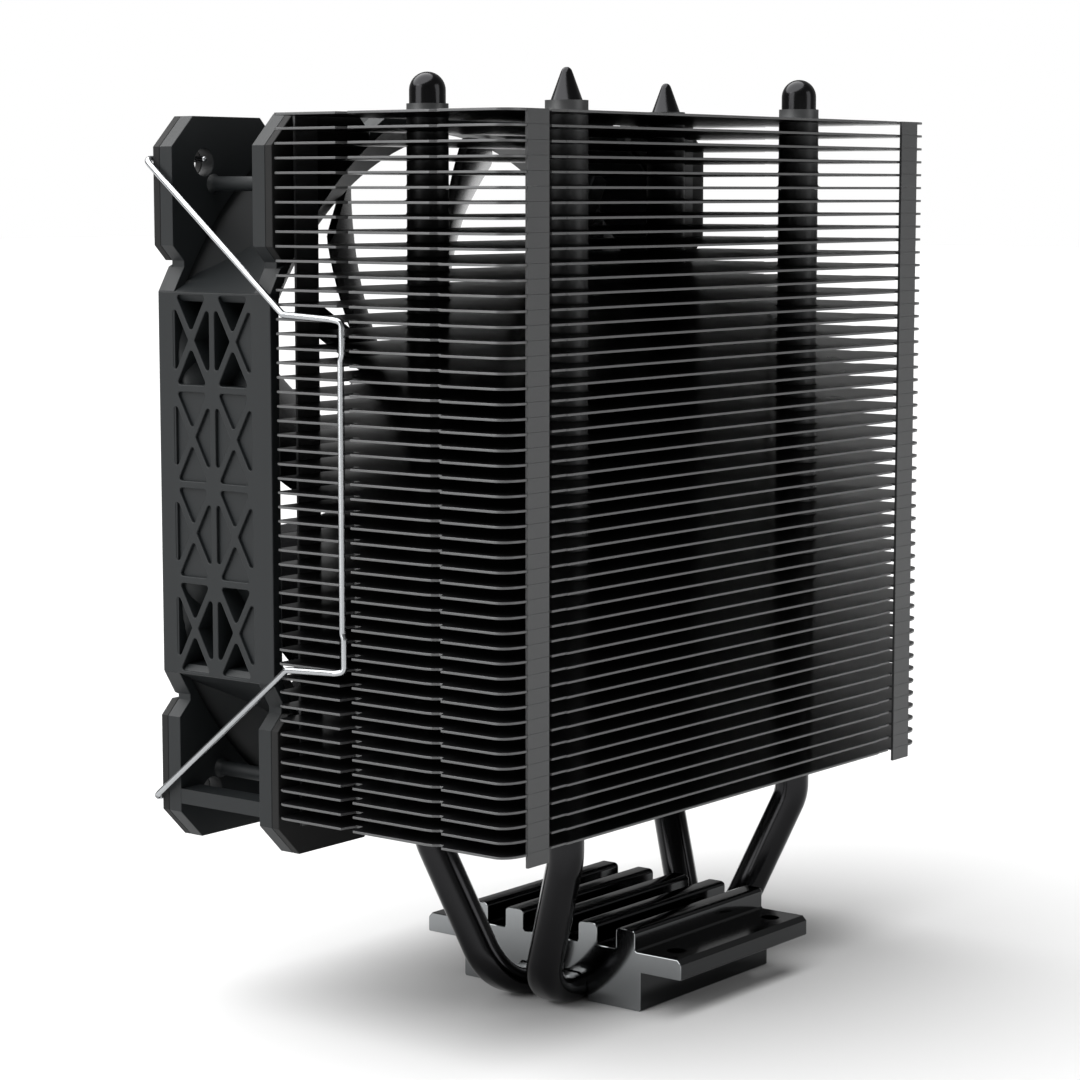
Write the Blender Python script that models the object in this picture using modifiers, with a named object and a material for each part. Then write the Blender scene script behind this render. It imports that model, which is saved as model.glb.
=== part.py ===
"""CPU tower cooler: a finned tower on two heat pipes, with a 120 mm fan held on by two wire clips.

The origin is the centre of the base's contact face. +Z is up, air flows along +Y, and the fan is at -Y.
"""

import math

import bmesh
import bpy
from mathutils import Matrix, Vector

MM = 0.001
GAP = 0.3 * MM
OVERSHOOT = 1.0 * MM

# Base.
BASE_LENGTH = 38.0 * MM
BLOCK_DEPTH = 37.5 * MM
BLOCK_HEIGHT = 6.6 * MM
FLANGE_REACH = 8.15 * MM
FLANGE_THICKNESS = 3.4 * MM
FLANGE_CHAMFER = 0.7 * MM
RIB_COUNT = 5
RIB_PITCH = 7.8 * MM
RIB_WIDTH = 3.9 * MM
RIB_HEIGHT = 3.6 * MM
RIB_CORNER_RADIUS = 0.8 * MM
SCREW_HOLE_RADIUS = 1.6 * MM
SCREW_SPACING_X = 28.2 * MM

# Heat pipes.
PIPE_RADIUS = 3.0 * MM
PIPE_FLAT_HALF = 2.3 * MM
PIPE_BASE_OFFSET = 4.3 * MM
LEG_X = 33.5 * MM
LEG_Y = 14.2 * MM
UPPER_KNEE_Z = 27.8 * MM
UPPER_KNEE_RADIUS = 9.0 * MM
LOWER_KNEE_X = 27.9 * MM
LOWER_KNEE_RADIUS = 9.0 * MM
PIPE_END_RISE = 7.0 * MM
CONE_BASE_RADIUS = 2.6 * MM
CONE_TIP_RADIUS = 0.85 * MM
PIPE_SIDES = 10

# Fins.
FIN_COUNT = 50
FINS_PER_BANK = 5
FIN_PITCH = 2.304 * MM
FIN_THICKNESS = 0.4 * MM
BOTTOM_FIN_Z = 33.96 * MM
FIN_HALF_WIDTH = 60.2 * MM
FIN_REAR_STEP = 1.0 * MM
FIN_DEPTH = 48.2 * MM
FIN_CORNER_RADIUS = 4.6 * MM
CLIP_NOTCH_FROM_FRONT = 13.4 * MM
CLIP_NOTCH_WIDTH = 2.8 * MM
CLIP_NOTCH_DEPTH = 2.9 * MM
REAR_STEP_FROM_FRONT = 34.7 * MM
FIN_HOLE_SIDES = 8
FIN_HOLE_RADIUS = (PIPE_RADIUS + GAP) / math.cos(math.pi / FIN_HOLE_SIDES)
REAR_TAB_INNER_X = FIN_HALF_WIDTH - 8.9 * MM
FRONT_TAB_INNER_X = FIN_HALF_WIDTH - 10.2 * MM
TAB_WIDTH = 5.3 * MM
TAB_THICKNESS = 0.45 * MM
REAR_TAB_REACH = 0.1 * MM

# Fan.
FAN_SIZE = 120.0 * MM
FAN_DEPTH = 25.0 * MM
FAN_HOLE_SPACING = 105.0 * MM
FAN_HOLE_RADIUS = 2.25 * MM
FLANGE_PLATE = 3.6 * MM
EAR_CHAMFER = 5.0 * MM
EAR_LENGTH = 21.0 * MM
EAR_END_CHAMFER = 2.5 * MM
PANEL_HALF_LENGTH = 31.5 * MM
DUCT_RADIUS = 58.0 * MM
DUCT_WALL = 1.1 * MM
DUCT_SIDES = 48
PAD_STANDS_PROUD = 0.7 * MM
PAD_RECESS = 1.1 * MM
PAD_INNER_RADIUS = 66.9 * MM
FLARE_RADIUS = 65.8 * MM
FLARE_WALL = 2.2 * MM
FLARE_SQUARE_GAP = 0.2 * MM
POST_RADIUS = 1.2 * MM
POST_X = 50.3 * MM
POST_Z = 49.0 * MM
WEB_THICKNESS = 2.5 * MM
WEB_Z = 52.3 * MM
LATTICE_ROWS = 4
LATTICE_COLUMNS = 2
LATTICE_ROW_HEIGHT = 15.8 * MM
LATTICE_CELL_WIDTH = 8.1 * MM
LATTICE_BAR = 1.2 * MM
LATTICE_END_DEPTH = 0.6 * MM
LATTICE_SHIFT = -0.5 * MM
STRUT_COUNT = 4
STRUT_WIDTH = 4.0 * MM
STRUT_THICKNESS = 3.0 * MM
STRUT_FIRST_ANGLE = math.radians(30)
MOTOR_PLATE_RADIUS = 20.0 * MM
MOTOR_PLATE_THICKNESS = 2.2 * MM
LABEL_RADIUS = 16.0 * MM
LABEL_THICKNESS = 0.4 * MM
SEAT_RADIUS = 2.9 * MM
SEAT_WALL = 1.3 * MM

# Rotor.
BLADE_COUNT = 9
BLADE_TIP_RADIUS = 57.0 * MM
BLADE_THICKNESS = 1.3 * MM
HUB_RADIUS = 20.5 * MM
HUB_WALL = 1.6 * MM
YOKE_WALL = 1.0 * MM
MAGNET_WALL = 1.8 * MM
SHAFT_RADIUS = 1.5 * MM
BEARING_CLEARANCE = 0.05 * MM
BEARING_LENGTH = 13.0 * MM
WASHER_THICKNESS = 0.5 * MM

# Stator.
STATOR_RADIUS = 14.6 * MM
STATOR_STACK = 6.0 * MM
ARM_WIDTH = 3.6 * MM
ARM_COUNT = 4
POLE_THICKNESS = 1.8 * MM
COIL_WALL = 2.2 * MM
INSULATOR_THICKNESS = 0.8 * MM
BOARD_THICKNESS = 1.0 * MM
BOARD_RADIUS = 17.0 * MM

# Wire clips.
WIRE_RADIUS = 0.53 * MM
CLIP_GRIP_DEPTH = 0.5 * MM
CLIP_HOOK_LENGTH = 5.0 * MM
CLIP_HOOK_HALF_SPAN = 53.0 * MM
CLIP_GRIP_HALF_SPAN = 27.8 * MM
CLIP_SHOULDER_REACH = 10.5 * MM

# Places that follow from the sizes above.
FAN_Z = 87.2 * MM
STACK_TOP = BOTTOM_FIN_Z + (FIN_COUNT - 1) * FIN_PITCH + FIN_THICKNESS
STACK_FRONT = -23.8 * MM
STACK_REAR = STACK_FRONT + FIN_DEPTH
FAN_REAR = STACK_FRONT - GAP - PAD_STANDS_PROUD
FAN_FRONT = FAN_REAR - FAN_DEPTH
PAD_THICKNESS = PAD_STANDS_PROUD + PAD_RECESS - GAP
PIPE_BASE_Z = PIPE_FLAT_HALF
FLANGE_TOP = BLOCK_HEIGHT + FLANGE_THICKNESS
CLIP_HINGE_X = FAN_HOLE_SPACING / 2
CLIP_HINGE_Y = FAN_FRONT - PAD_STANDS_PROUD - GAP - WIRE_RADIUS
CLIP_X = FIN_HALF_WIDTH + GAP + WIRE_RADIUS
CLIP_NOTCH_Y = STACK_FRONT + CLIP_NOTCH_FROM_FRONT + CLIP_NOTCH_WIDTH / 2
MOTOR_FRONT = FAN_REAR - MOTOR_PLATE_THICKNESS
HUB_FRONT = FAN_FRONT + 0.8 * MM
SLEEVE_END = MOTOR_FRONT - 1.2 * MM
SHAFT_TIP = SLEEVE_END + 1.6 * MM


def clear_scene():
    for obj in list(bpy.data.objects):
        bpy.data.objects.remove(obj, do_unlink=True)


def new_collection(name):
    collection = bpy.data.collections.new(name)
    bpy.context.scene.collection.children.link(collection)
    return collection


clear_scene()
COOLER = new_collection("cpu_tower_cooler")
CUTTERS = new_collection("cutters")


def material(name, color, roughness, metallic):
    found = bpy.data.materials.get(name)
    if found:
        return found
    made = bpy.data.materials.new(name)
    made.use_nodes = True
    shader = made.node_tree.nodes["Principled BSDF"]
    shader.inputs["Base Color"].default_value = (*color, 1.0)
    shader.inputs["Roughness"].default_value = roughness
    shader.inputs["Metallic"].default_value = metallic
    made.diffuse_color = (*color, 1.0)
    return made


BASE_METAL = material("base_metal", (0.20, 0.21, 0.22), 0.3, 0.9)
PIPE_BLACK = material("pipe_black_nickel", (0.012, 0.012, 0.013), 0.15, 0.9)
FIN_BLACK = material("fin_black_coat", (0.02, 0.02, 0.021), 0.4, 0.7)
FAN_PLASTIC = material("fan_plastic", (0.035, 0.040, 0.042), 0.6, 0.0)
BLADE_PLASTIC = material("blade_plastic", (0.025, 0.026, 0.028), 0.5, 0.0)
PAD_RUBBER = material("pad_rubber", (0.008, 0.008, 0.009), 0.8, 0.0)
CLIP_STEEL = material("clip_steel", (0.75, 0.77, 0.78), 0.15, 1.0)
PLAIN_STEEL = material("plain_steel", (0.50, 0.50, 0.51), 0.35, 1.0)
MAGNET_GREY = material("magnet_grey", (0.05, 0.05, 0.055), 0.7, 0.1)
BRONZE = material("bearing_bronze", (0.45, 0.30, 0.15), 0.5, 0.9)
COPPER = material("coil_copper", (0.60, 0.25, 0.12), 0.35, 0.9)
INSULATOR = material("insulator_white", (0.70, 0.70, 0.66), 0.6, 0.0)
BOARD_GREEN = material("board_green", (0.02, 0.12, 0.05), 0.4, 0.0)
LABEL_BLACK = material("label_black", (0.02, 0.02, 0.02), 0.5, 0.0)


def add_object(name, mesh):
    obj = bpy.data.objects.new(name, mesh)
    CUTTERS.objects.link(obj)
    return obj


def helper(obj):
    obj.hide_render = True
    obj.display_type = "WIRE"
    return obj


def bmesh_object(name, shape):
    bmesh.ops.recalc_face_normals(shape, faces=shape.faces)
    mesh = bpy.data.meshes.new(name)
    shape.to_mesh(mesh)
    shape.free()
    return helper(add_object(name, mesh))


def box(low, high):
    """A block between two opposite corners."""
    low = Vector(low)
    high = Vector(high)
    shape = bmesh.new()
    bmesh.ops.create_cube(shape, size=1.0)
    bmesh.ops.scale(shape, verts=shape.verts, vec=high - low)
    bmesh.ops.translate(shape, verts=shape.verts, vec=(low + high) / 2)
    return bmesh_object("block", shape)


def cylinder(radius, start, end, centre, axis="Y", sides=24, far_radius=None):
    """A round bar along an axis, between two places on it, through a centre given in the other two."""
    shape = bmesh.new()
    bmesh.ops.create_cone(
        shape,
        cap_ends=True,
        segments=sides,
        radius1=radius,
        radius2=radius if far_radius is None else far_radius,
        depth=end - start,
    )
    middle = (start + end) / 2
    if axis == "Y":
        turn = Matrix.Rotation(-math.pi / 2, 4, "X")
        place = Vector((centre[0], middle, centre[1]))
    elif axis == "X":
        turn = Matrix.Rotation(math.pi / 2, 4, "Y")
        place = Vector((middle, centre[0], centre[1]))
    else:
        turn = Matrix.Identity(4)
        place = Vector((centre[0], centre[1], middle))
    bmesh.ops.transform(shape, matrix=Matrix.Translation(place) @ turn, verts=shape.verts)
    return bmesh_object("bar", shape)


def prism(outline, start, end, axis="Y"):
    """A flat outline carried along an axis. The outline gives (x, z) for Y, (y, z) for X and (x, y) for Z."""
    shape = bmesh.new()
    corners = []
    for first, second in outline:
        place = {"Y": (first, start, second), "X": (start, first, second), "Z": (first, second, start)}[axis]
        corners.append(shape.verts.new(place))
    face = shape.faces.new(corners)
    grown = bmesh.ops.extrude_face_region(shape, geom=[face])
    move = {"Y": (0, end - start, 0), "X": (end - start, 0, 0), "Z": (0, 0, end - start)}[axis]
    verts = [item for item in grown["geom"] if isinstance(item, bmesh.types.BMVert)]
    bmesh.ops.translate(shape, verts=verts, vec=move)
    return bmesh_object("prism", shape)


def settle(obj):
    """Replaces an object's mesh with what its modifiers make of it."""
    graph = bpy.context.evaluated_depsgraph_get()
    mesh = bpy.data.meshes.new_from_object(obj.evaluated_get(graph))
    obj.modifiers.clear()
    obj.data = mesh


def combine(obj, tools, operation):
    """Adds or cuts each tool, then removes it."""
    for tool in tools:
        modifier = obj.modifiers.new(operation.lower(), "BOOLEAN")
        modifier.operation = operation
        modifier.object = tool
        settle(obj)
        bpy.data.objects.remove(tool, do_unlink=True)
    return obj


def join(obj, *tools):
    return combine(obj, tools, "UNION")


def cut(obj, *tools):
    return combine(obj, tools, "DIFFERENCE")


def finish(obj, name, look, smooth=None):
    """Names a piece, gives it its material and makes it a visible part of the cooler."""
    obj.name = name
    obj.data.name = name
    obj.data.materials.clear()
    obj.data.materials.append(look)
    CUTTERS.objects.unlink(obj)
    COOLER.objects.link(obj)
    obj.hide_render = False
    obj.display_type = "TEXTURED"
    if smooth is not None:
        obj.data.shade_smooth()
        obj.data.set_sharp_from_angle(angle=math.radians(smooth))
    return obj


def turned(profile, centre, sides=48):
    """A ring turned about the Y axis line through a centre (x, z): the profile's points are (radius, y)."""
    mesh = bpy.data.meshes.new("profile")
    points = [(radius, place, 0.0) for radius, place in profile]
    edges = [(index, (index + 1) % len(points)) for index in range(len(points))]
    mesh.from_pydata(points, edges, [])
    obj = helper(add_object("ring", mesh))
    obj.location = (centre[0], 0.0, centre[1])
    screw = obj.modifiers.new("turn", "SCREW")
    screw.axis = "Y"
    screw.steps = sides
    screw.render_steps = sides
    screw.use_merge_vertices = True
    screw.merge_threshold = 0.00001
    settle(obj)
    shape = bmesh.new()
    shape.from_mesh(obj.data)
    bmesh.ops.recalc_face_normals(shape, faces=shape.faces)
    shape.to_mesh(obj.data)
    shape.free()
    return obj


def tube_ring(inner, outer, start, end, sides=48):
    """A plain ring about the fan's axis."""
    profile = [(outer, start), (outer, end), (inner, end), (inner, start)]
    return turned(profile, (0.0, FAN_Z), sides)


def hang_on_fan_axis(obj):
    """Moves an object's origin onto the fan's axis, with its shape where it was."""
    middle = Vector((0.0, (FAN_FRONT + FAN_REAR) / 2, FAN_Z))
    obj.data.transform(Matrix.Translation(obj.location - middle))
    obj.location = middle


def arc(centre, radius, first, last, steps):
    """Points along a round corner, from one angle to another in degrees."""
    points = []
    for step in range(steps + 1):
        angle = math.radians(first + (last - first) * step / steps)
        points.append((centre[0] + radius * math.cos(angle), centre[1] + radius * math.sin(angle)))
    return points


# ---------------------------------------------------------------- base


def base_outline():
    """Half of the extrusion's outline at +Y, from the middle of the contact face to the middle of the top."""
    half = BLOCK_DEPTH / 2
    edge = half + FLANGE_REACH
    return [
        (half, 0.0),
        (half, BLOCK_HEIGHT),
        (edge, BLOCK_HEIGHT),
        (edge, FLANGE_TOP - FLANGE_CHAMFER),
        (edge - FLANGE_CHAMFER, FLANGE_TOP),
    ]


def rib(centre):
    """A cooling rib with softened top corners, sunk a little into the slab below."""
    half = RIB_WIDTH / 2
    top = FLANGE_TOP + RIB_HEIGHT
    inset = half - RIB_CORNER_RADIUS
    height = top - RIB_CORNER_RADIUS
    outline = [(centre - half, FLANGE_TOP - OVERSHOOT), (centre + half, FLANGE_TOP - OVERSHOOT)]
    outline += arc((centre + inset, height), RIB_CORNER_RADIUS, 0, 90, 2)
    outline += arc((centre - inset, height), RIB_CORNER_RADIUS, 90, 180, 2)
    return prism(outline, -BASE_LENGTH / 2, BASE_LENGTH / 2, "X")


def pipe_channel(centre):
    """A slot in the contact face that takes one flattened pipe with a gap all round."""
    half = pipe_flat_width() / 2 + GAP
    depth = 2 * PIPE_FLAT_HALF + GAP
    end = BASE_LENGTH / 2 + OVERSHOOT
    return box((-end, centre - half, -OVERSHOOT), (end, centre + half, depth))


def make_base():
    side = base_outline()
    outline = side + [(-y, z) for y, z in reversed(side)]
    base = prism(outline, -BASE_LENGTH / 2, BASE_LENGTH / 2, "X")
    middle = (RIB_COUNT - 1) / 2
    join(base, *[rib((number - middle) * RIB_PITCH) for number in range(RIB_COUNT)])
    cut(base, pipe_channel(PIPE_BASE_OFFSET), pipe_channel(-PIPE_BASE_OFFSET))
    screw_y = BLOCK_DEPTH / 2 + FLANGE_REACH / 2 - FLANGE_CHAMFER / 2
    holes = [
        cylinder(SCREW_HOLE_RADIUS, 0.0, FLANGE_TOP + OVERSHOOT, (x, y), "Z", 12)
        for x in (-SCREW_SPACING_X / 2, SCREW_SPACING_X / 2)
        for y in (-screw_y, screw_y)
    ]
    cut(base, *holes)
    finish(base, "base_block", BASE_METAL)


# ---------------------------------------------------------------- heat pipes


def pipe_flat_width():
    """The width that a round tube has once it is pressed to the flat height, at the same girth."""
    return 2 * (PIPE_FLAT_HALF + math.pi / 2 * (PIPE_RADIUS - PIPE_FLAT_HALF))


def bend(before, corner, after, radius, steps):
    """Points round a bend of the given radius at a corner between two straight runs."""
    first = (before - corner).normalized()
    second = (after - corner).normalized()
    angle = first.angle(second)
    reach = radius / math.tan(angle / 2)
    middle = corner + (first + second).normalized() * (radius / math.sin(angle / 2))
    start = corner + first * reach - middle
    end = corner + second * reach - middle
    sweep = start.angle(end)
    points = []
    for step in range(steps + 1):
        part = step / steps
        near = math.sin((1 - part) * sweep) / math.sin(sweep)
        far = math.sin(part * sweep) / math.sin(sweep)
        points.append(middle + start * near + end * far)
    return points


def pipe_leg(side):
    """The middle line of half a pipe, from the centre of the base to the top of the +X leg."""
    foot = Vector((0.0, side * PIPE_BASE_OFFSET, PIPE_BASE_Z))
    lower = Vector((LOWER_KNEE_X, side * PIPE_BASE_OFFSET, PIPE_BASE_Z))
    upper = Vector((LEG_X, side * LEG_Y, UPPER_KNEE_Z))
    top = Vector((LEG_X, side * LEG_Y, STACK_TOP + PIPE_END_RISE))
    line = [foot, foot.lerp(lower, 0.45)]
    line += bend(foot, lower, upper, LOWER_KNEE_RADIUS, 7)
    line += bend(lower, upper, top, UPPER_KNEE_RADIUS, 4)
    return line


def pipe_half_height(place):
    """The tube's half height along its route: flat in the base, round where it leaves it."""
    rise = (place.z - PIPE_BASE_Z) / (8.0 * MM)
    part = min(max(rise, 0.0), 1.0)
    return PIPE_FLAT_HALF + (PIPE_RADIUS - PIPE_FLAT_HALF) * part


def ring_points(place, along, half_height):
    """One cross-section: two half circles joined by flats as wide as the girth needs."""
    across = Vector((0.0, 1.0, 0.0))
    across = (across - along * across.dot(along)).normalized()
    upward = along.cross(across)
    shift = math.pi / 2 * (PIPE_RADIUS - half_height)
    points = []
    for number in range(PIPE_SIDES):
        angle = 2 * math.pi * (number + 0.5) / PIPE_SIDES
        wide = half_height * math.cos(angle) + math.copysign(shift, math.cos(angle))
        points.append(place + across * wide + upward * (half_height * math.sin(angle)))
    return points


def end_rings(top, domed):
    """The closing rings at the top of a leg: a round dome or a pinched cone. Gives (height, radius) pairs."""
    if domed:
        rings = []
        for angle in (0, 30, 55, 75):
            height = PIPE_RADIUS * (math.sin(math.radians(angle)) - 1)
            rings.append((top + height, PIPE_RADIUS * math.cos(math.radians(angle))))
        return rings
    base = top - 5.3 * MM
    return [
        (base - 0.4 * MM, PIPE_RADIUS),
        (base, CONE_BASE_RADIUS),
        (top - 0.4 * MM, CONE_TIP_RADIUS),
        (top, CONE_TIP_RADIUS * 0.6),
    ]


def make_pipe(name, side, domed_plus_x):
    """A U of flattened and bent tube, lofted through its cross-sections and closed at both ends."""
    half = pipe_leg(side)
    mirrored = [Vector((-place.x, place.y, place.z)) for place in half[:0:-1]]
    line = mirrored + half
    shape = bmesh.new()
    rings = []
    top = STACK_TOP + PIPE_END_RISE
    minus = end_rings(top, not domed_plus_x)
    plus = end_rings(top, domed_plus_x)
    for height, radius in reversed(minus):
        place = Vector((-LEG_X, side * LEG_Y, height))
        rings.append(scaled_ring(place, Vector((0, 0, -1)), radius))
    for index, place in enumerate(line):
        before = line[max(index - 1, 0)]
        after = line[min(index + 1, len(line) - 1)]
        if index == 0:
            along = Vector((0, 0, -1))
        elif index == len(line) - 1:
            along = Vector((0, 0, 1))
        else:
            along = ((place - before).normalized() + (after - place).normalized()).normalized()
        rings.append(ring_points(place, along, pipe_half_height(place)))
    for height, radius in plus:
        place = Vector((LEG_X, side * LEG_Y, height))
        rings.append(scaled_ring(place, Vector((0, 0, 1)), radius))
    loops = [[shape.verts.new(point) for point in ring] for ring in rings]
    for near, far in zip(loops, loops[1:]):
        for number in range(PIPE_SIDES):
            after = (number + 1) % PIPE_SIDES
            shape.faces.new((near[number], near[after], far[after], far[number]))
    shape.faces.new(loops[0])
    shape.faces.new(loops[-1])
    finish(bmesh_object(name, shape), name, PIPE_BLACK, 40)


def scaled_ring(place, along, radius):
    """A round cross-section of any radius, with its points in line with the tube's own."""
    return [
        place + (point - place) * (radius / PIPE_RADIUS) for point in ring_points(place, along, PIPE_RADIUS)
    ]


# ---------------------------------------------------------------- fins


def fin_side():
    """The +X edge of a fin, from its front corner to the middle of its rear edge, as (x, y)."""
    wide = FIN_HALF_WIDTH
    wider = wide + FIN_REAR_STEP
    notch = STACK_FRONT + CLIP_NOTCH_FROM_FRONT
    step = STACK_FRONT + REAR_STEP_FROM_FRONT
    corner = (wider - FIN_CORNER_RADIUS, STACK_REAR - FIN_CORNER_RADIUS)
    points = [
        (wide, STACK_FRONT),
        (wide, notch),
        (wide - CLIP_NOTCH_DEPTH, notch + 0.8 * MM),
        (wide - CLIP_NOTCH_DEPTH, notch + CLIP_NOTCH_WIDTH - 0.8 * MM),
        (wide, notch + CLIP_NOTCH_WIDTH),
        (wide, step),
        (wider, step),
    ]
    return points + arc(corner, FIN_CORNER_RADIUS, 0, 90, 2)


def fin(top):
    side = fin_side()
    outline = side + [(-x, y) for x, y in reversed(side)]
    return prism(outline, top - FIN_THICKNESS, top, "Z")


def tab_strip(side, inner, start, length):
    """The folded tabs of one bank, locked into a strip at one place along the fins' edge."""
    low = min(side * inner, side * (inner + TAB_WIDTH))
    return box((low, start, -length), (low + TAB_WIDTH, start + TAB_THICKNESS, -0.1 * MM))


def make_fin_banks():
    """Banks of fins, each one body: its fins are joined by the interlocking tabs at front and rear."""
    length = FINS_PER_BANK * FIN_PITCH - GAP
    rear = STACK_REAR + REAR_TAB_REACH - TAB_THICKNESS
    strips = []
    for side in (-1, 1):
        strips.append(tab_strip(side, REAR_TAB_INNER_X, rear, length))
        strips.append(tab_strip(side, FRONT_TAB_INNER_X, STACK_FRONT, length))
    fins = [fin(-number * FIN_PITCH) for number in range(FINS_PER_BANK)]
    first = fins[0]
    join(first, *strips)
    join(first, *fins[1:])
    holes = [
        cylinder(FIN_HOLE_RADIUS, -length - OVERSHOOT, OVERSHOOT, (x, y), "Z", FIN_HOLE_SIDES)
        for x in (-LEG_X, LEG_X)
        for y in (-LEG_Y, LEG_Y)
    ]
    cut(first, *holes)
    mesh = first.data
    bpy.data.objects.remove(first, do_unlink=True)
    mesh.materials.clear()
    mesh.materials.append(FIN_BLACK)
    for number in range(FIN_COUNT // FINS_PER_BANK):
        obj = bpy.data.objects.new(f"fin_bank_{number + 1:02d}", mesh)
        obj.location.z = STACK_TOP - number * FINS_PER_BANK * FIN_PITCH
        COOLER.objects.link(obj)


# ---------------------------------------------------------------- fan frame


def quarter_turns(points):
    """The same stretch of outline repeated round the four sides of the square."""
    outline = []
    for turn in range(4):
        cosine = (1, 0, -1, 0)[turn]
        sine = (0, 1, 0, -1)[turn]
        for x, z in points:
            outline.append((x * cosine - z * sine, x * sine + z * cosine))
    return outline


def flange_outline():
    """A fan flange: four eared corners, with a V notch between each ear and the side panel."""
    half = FAN_SIZE / 2
    ear = half - EAR_LENGTH
    side = [
        (half - EAR_END_CHAMFER, -(PANEL_HALF_LENGTH + 1.6 * EAR_END_CHAMFER)),
        (half, -PANEL_HALF_LENGTH),
        (half, PANEL_HALF_LENGTH),
        (half - EAR_END_CHAMFER, PANEL_HALF_LENGTH + 1.6 * EAR_END_CHAMFER),
        (half - EAR_END_CHAMFER, ear - EAR_END_CHAMFER),
        (half, ear),
        (half, half - EAR_CHAMFER),
        (half - EAR_CHAMFER, half),
        (ear, half),
        (ear - EAR_END_CHAMFER, half - EAR_END_CHAMFER),
    ]
    return quarter_turns(side)


def pad_outline(grow):
    """A corner pad at +X, +Z: the ear's outer edges and an arc round the duct. It grows inwards only."""
    half = FAN_SIZE / 2
    ear = half - EAR_LENGTH
    low = ear - EAR_END_CHAMFER - grow
    radius = PAD_INNER_RADIUS - grow
    across = math.sqrt(radius**2 - low**2)
    first = math.degrees(math.atan2(low, across))
    outline = [
        (half, half - EAR_CHAMFER),
        (half - EAR_CHAMFER, half),
        (ear, half),
        (low, half - EAR_END_CHAMFER),
    ]
    outline += arc((0.0, 0.0), radius, 90 - first, first, 6)
    outline += [(half - EAR_END_CHAMFER, low), (half, ear)]
    return outline


def at_corner(outline, sign_x, sign_z):
    """Mirrors an outline about the fan's centre into one of its corners."""
    return [(sign_x * x, FAN_Z + sign_z * z) for x, z in outline]


CORNERS = [(1, 1), (-1, 1), (1, -1), (-1, -1)]


def raised(outline):
    return [(x, FAN_Z + z) for x, z in outline]


def side_panel(turn):
    """A thick panel between the flanges, its ends sloping in to the duct."""
    half = FAN_SIZE / 2
    inner = DUCT_RADIUS + DUCT_WALL / 2
    slope = inner * 0.78
    reach = PANEL_HALF_LENGTH + (half - slope) * 1.6
    points = [
        (half, -PANEL_HALF_LENGTH),
        (half, PANEL_HALF_LENGTH),
        (slope, min(reach, math.sqrt(inner**2 - slope**2))),
        (slope, -min(reach, math.sqrt(inner**2 - slope**2))),
    ]
    outline = quarter_turns(points)[turn * 4 : turn * 4 + 4]
    start = FAN_FRONT + FLANGE_PLATE - OVERSHOOT
    end = FAN_REAR - FLANGE_PLATE + OVERSHOOT
    return prism(raised(outline), start, end)


def lattice_triangles():
    """The triangular pockets of a side panel: crossed bars leave four in each cell.

    Gives the (y, z) outlines of the deep pockets, and of the shallow ones nearest the fins.
    """
    middle_y = (FAN_FRONT + FAN_REAR) / 2 + LATTICE_SHIFT
    deep = []
    shallow = []
    for column in range(LATTICE_COLUMNS):
        centre_y = middle_y + (column - (LATTICE_COLUMNS - 1) / 2) * (LATTICE_CELL_WIDTH + LATTICE_BAR)
        for row in range(LATTICE_ROWS):
            centre_z = FAN_Z + (row - (LATTICE_ROWS - 1) / 2) * LATTICE_ROW_HEIGHT
            rear, *others = cell_triangles(centre_y, centre_z)
            deep += others
            if column == LATTICE_COLUMNS - 1:
                shallow.append(rear)
            else:
                deep.append(rear)
    return deep, shallow


def cell_triangles(centre_y, centre_z):
    """The four pockets between the crossed bars of one cell."""
    wide = LATTICE_CELL_WIDTH / 2
    tall = (LATTICE_ROW_HEIGHT - LATTICE_BAR) / 2
    slant = math.hypot(wide, tall)
    shift_y = LATTICE_BAR / 2 * slant / tall
    shift_z = LATTICE_BAR / 2 * slant / wide
    shapes = [
        [(shift_y, 0.0), (wide, tall - shift_z), (wide, -tall + shift_z)],
        [(-shift_y, 0.0), (-wide, -tall + shift_z), (-wide, tall - shift_z)],
        [(0.0, shift_z), (-wide + shift_y, tall), (wide - shift_y, tall)],
        [(0.0, -shift_z), (wide - shift_y, -tall), (-wide + shift_y, -tall)],
    ]
    return [[(centre_y + y, centre_z + z) for y, z in shape] for shape in shapes]


def cut_lattice(frame):
    """The pockets reach in to the duct, so they are deepest at the panel's two ends."""
    deep, shallow = lattice_triangles()
    for side in (-1, 1):
        face = side * FAN_SIZE / 2
        above = face + side * OVERSHOOT
        for shapes, floor in ((deep, face - side * 9 * MM), (shallow, face - side * LATTICE_END_DEPTH)):
            start = min(floor, above)
            end = max(floor, above)
            for shape in shapes:
                pocket = prism(shape, start, end, "X")
                duct = cylinder(
                    DUCT_RADIUS + DUCT_WALL, FAN_FRONT, FAN_REAR, (0.0, FAN_Z), "Y", DUCT_SIDES
                )
                cut(pocket, duct, *mouth_walls())
                cut(frame, pocket)


def mouth_radius(angle, depth):
    """How far the flared mouth's wall stands from the fan's axis, in a direction and at a depth."""
    flat = (DUCT_RADIUS + FLARE_SQUARE_GAP) / max(abs(math.cos(angle)), abs(math.sin(angle)))
    return max(DUCT_RADIUS, min(FLARE_RADIUS - depth, flat))


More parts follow.
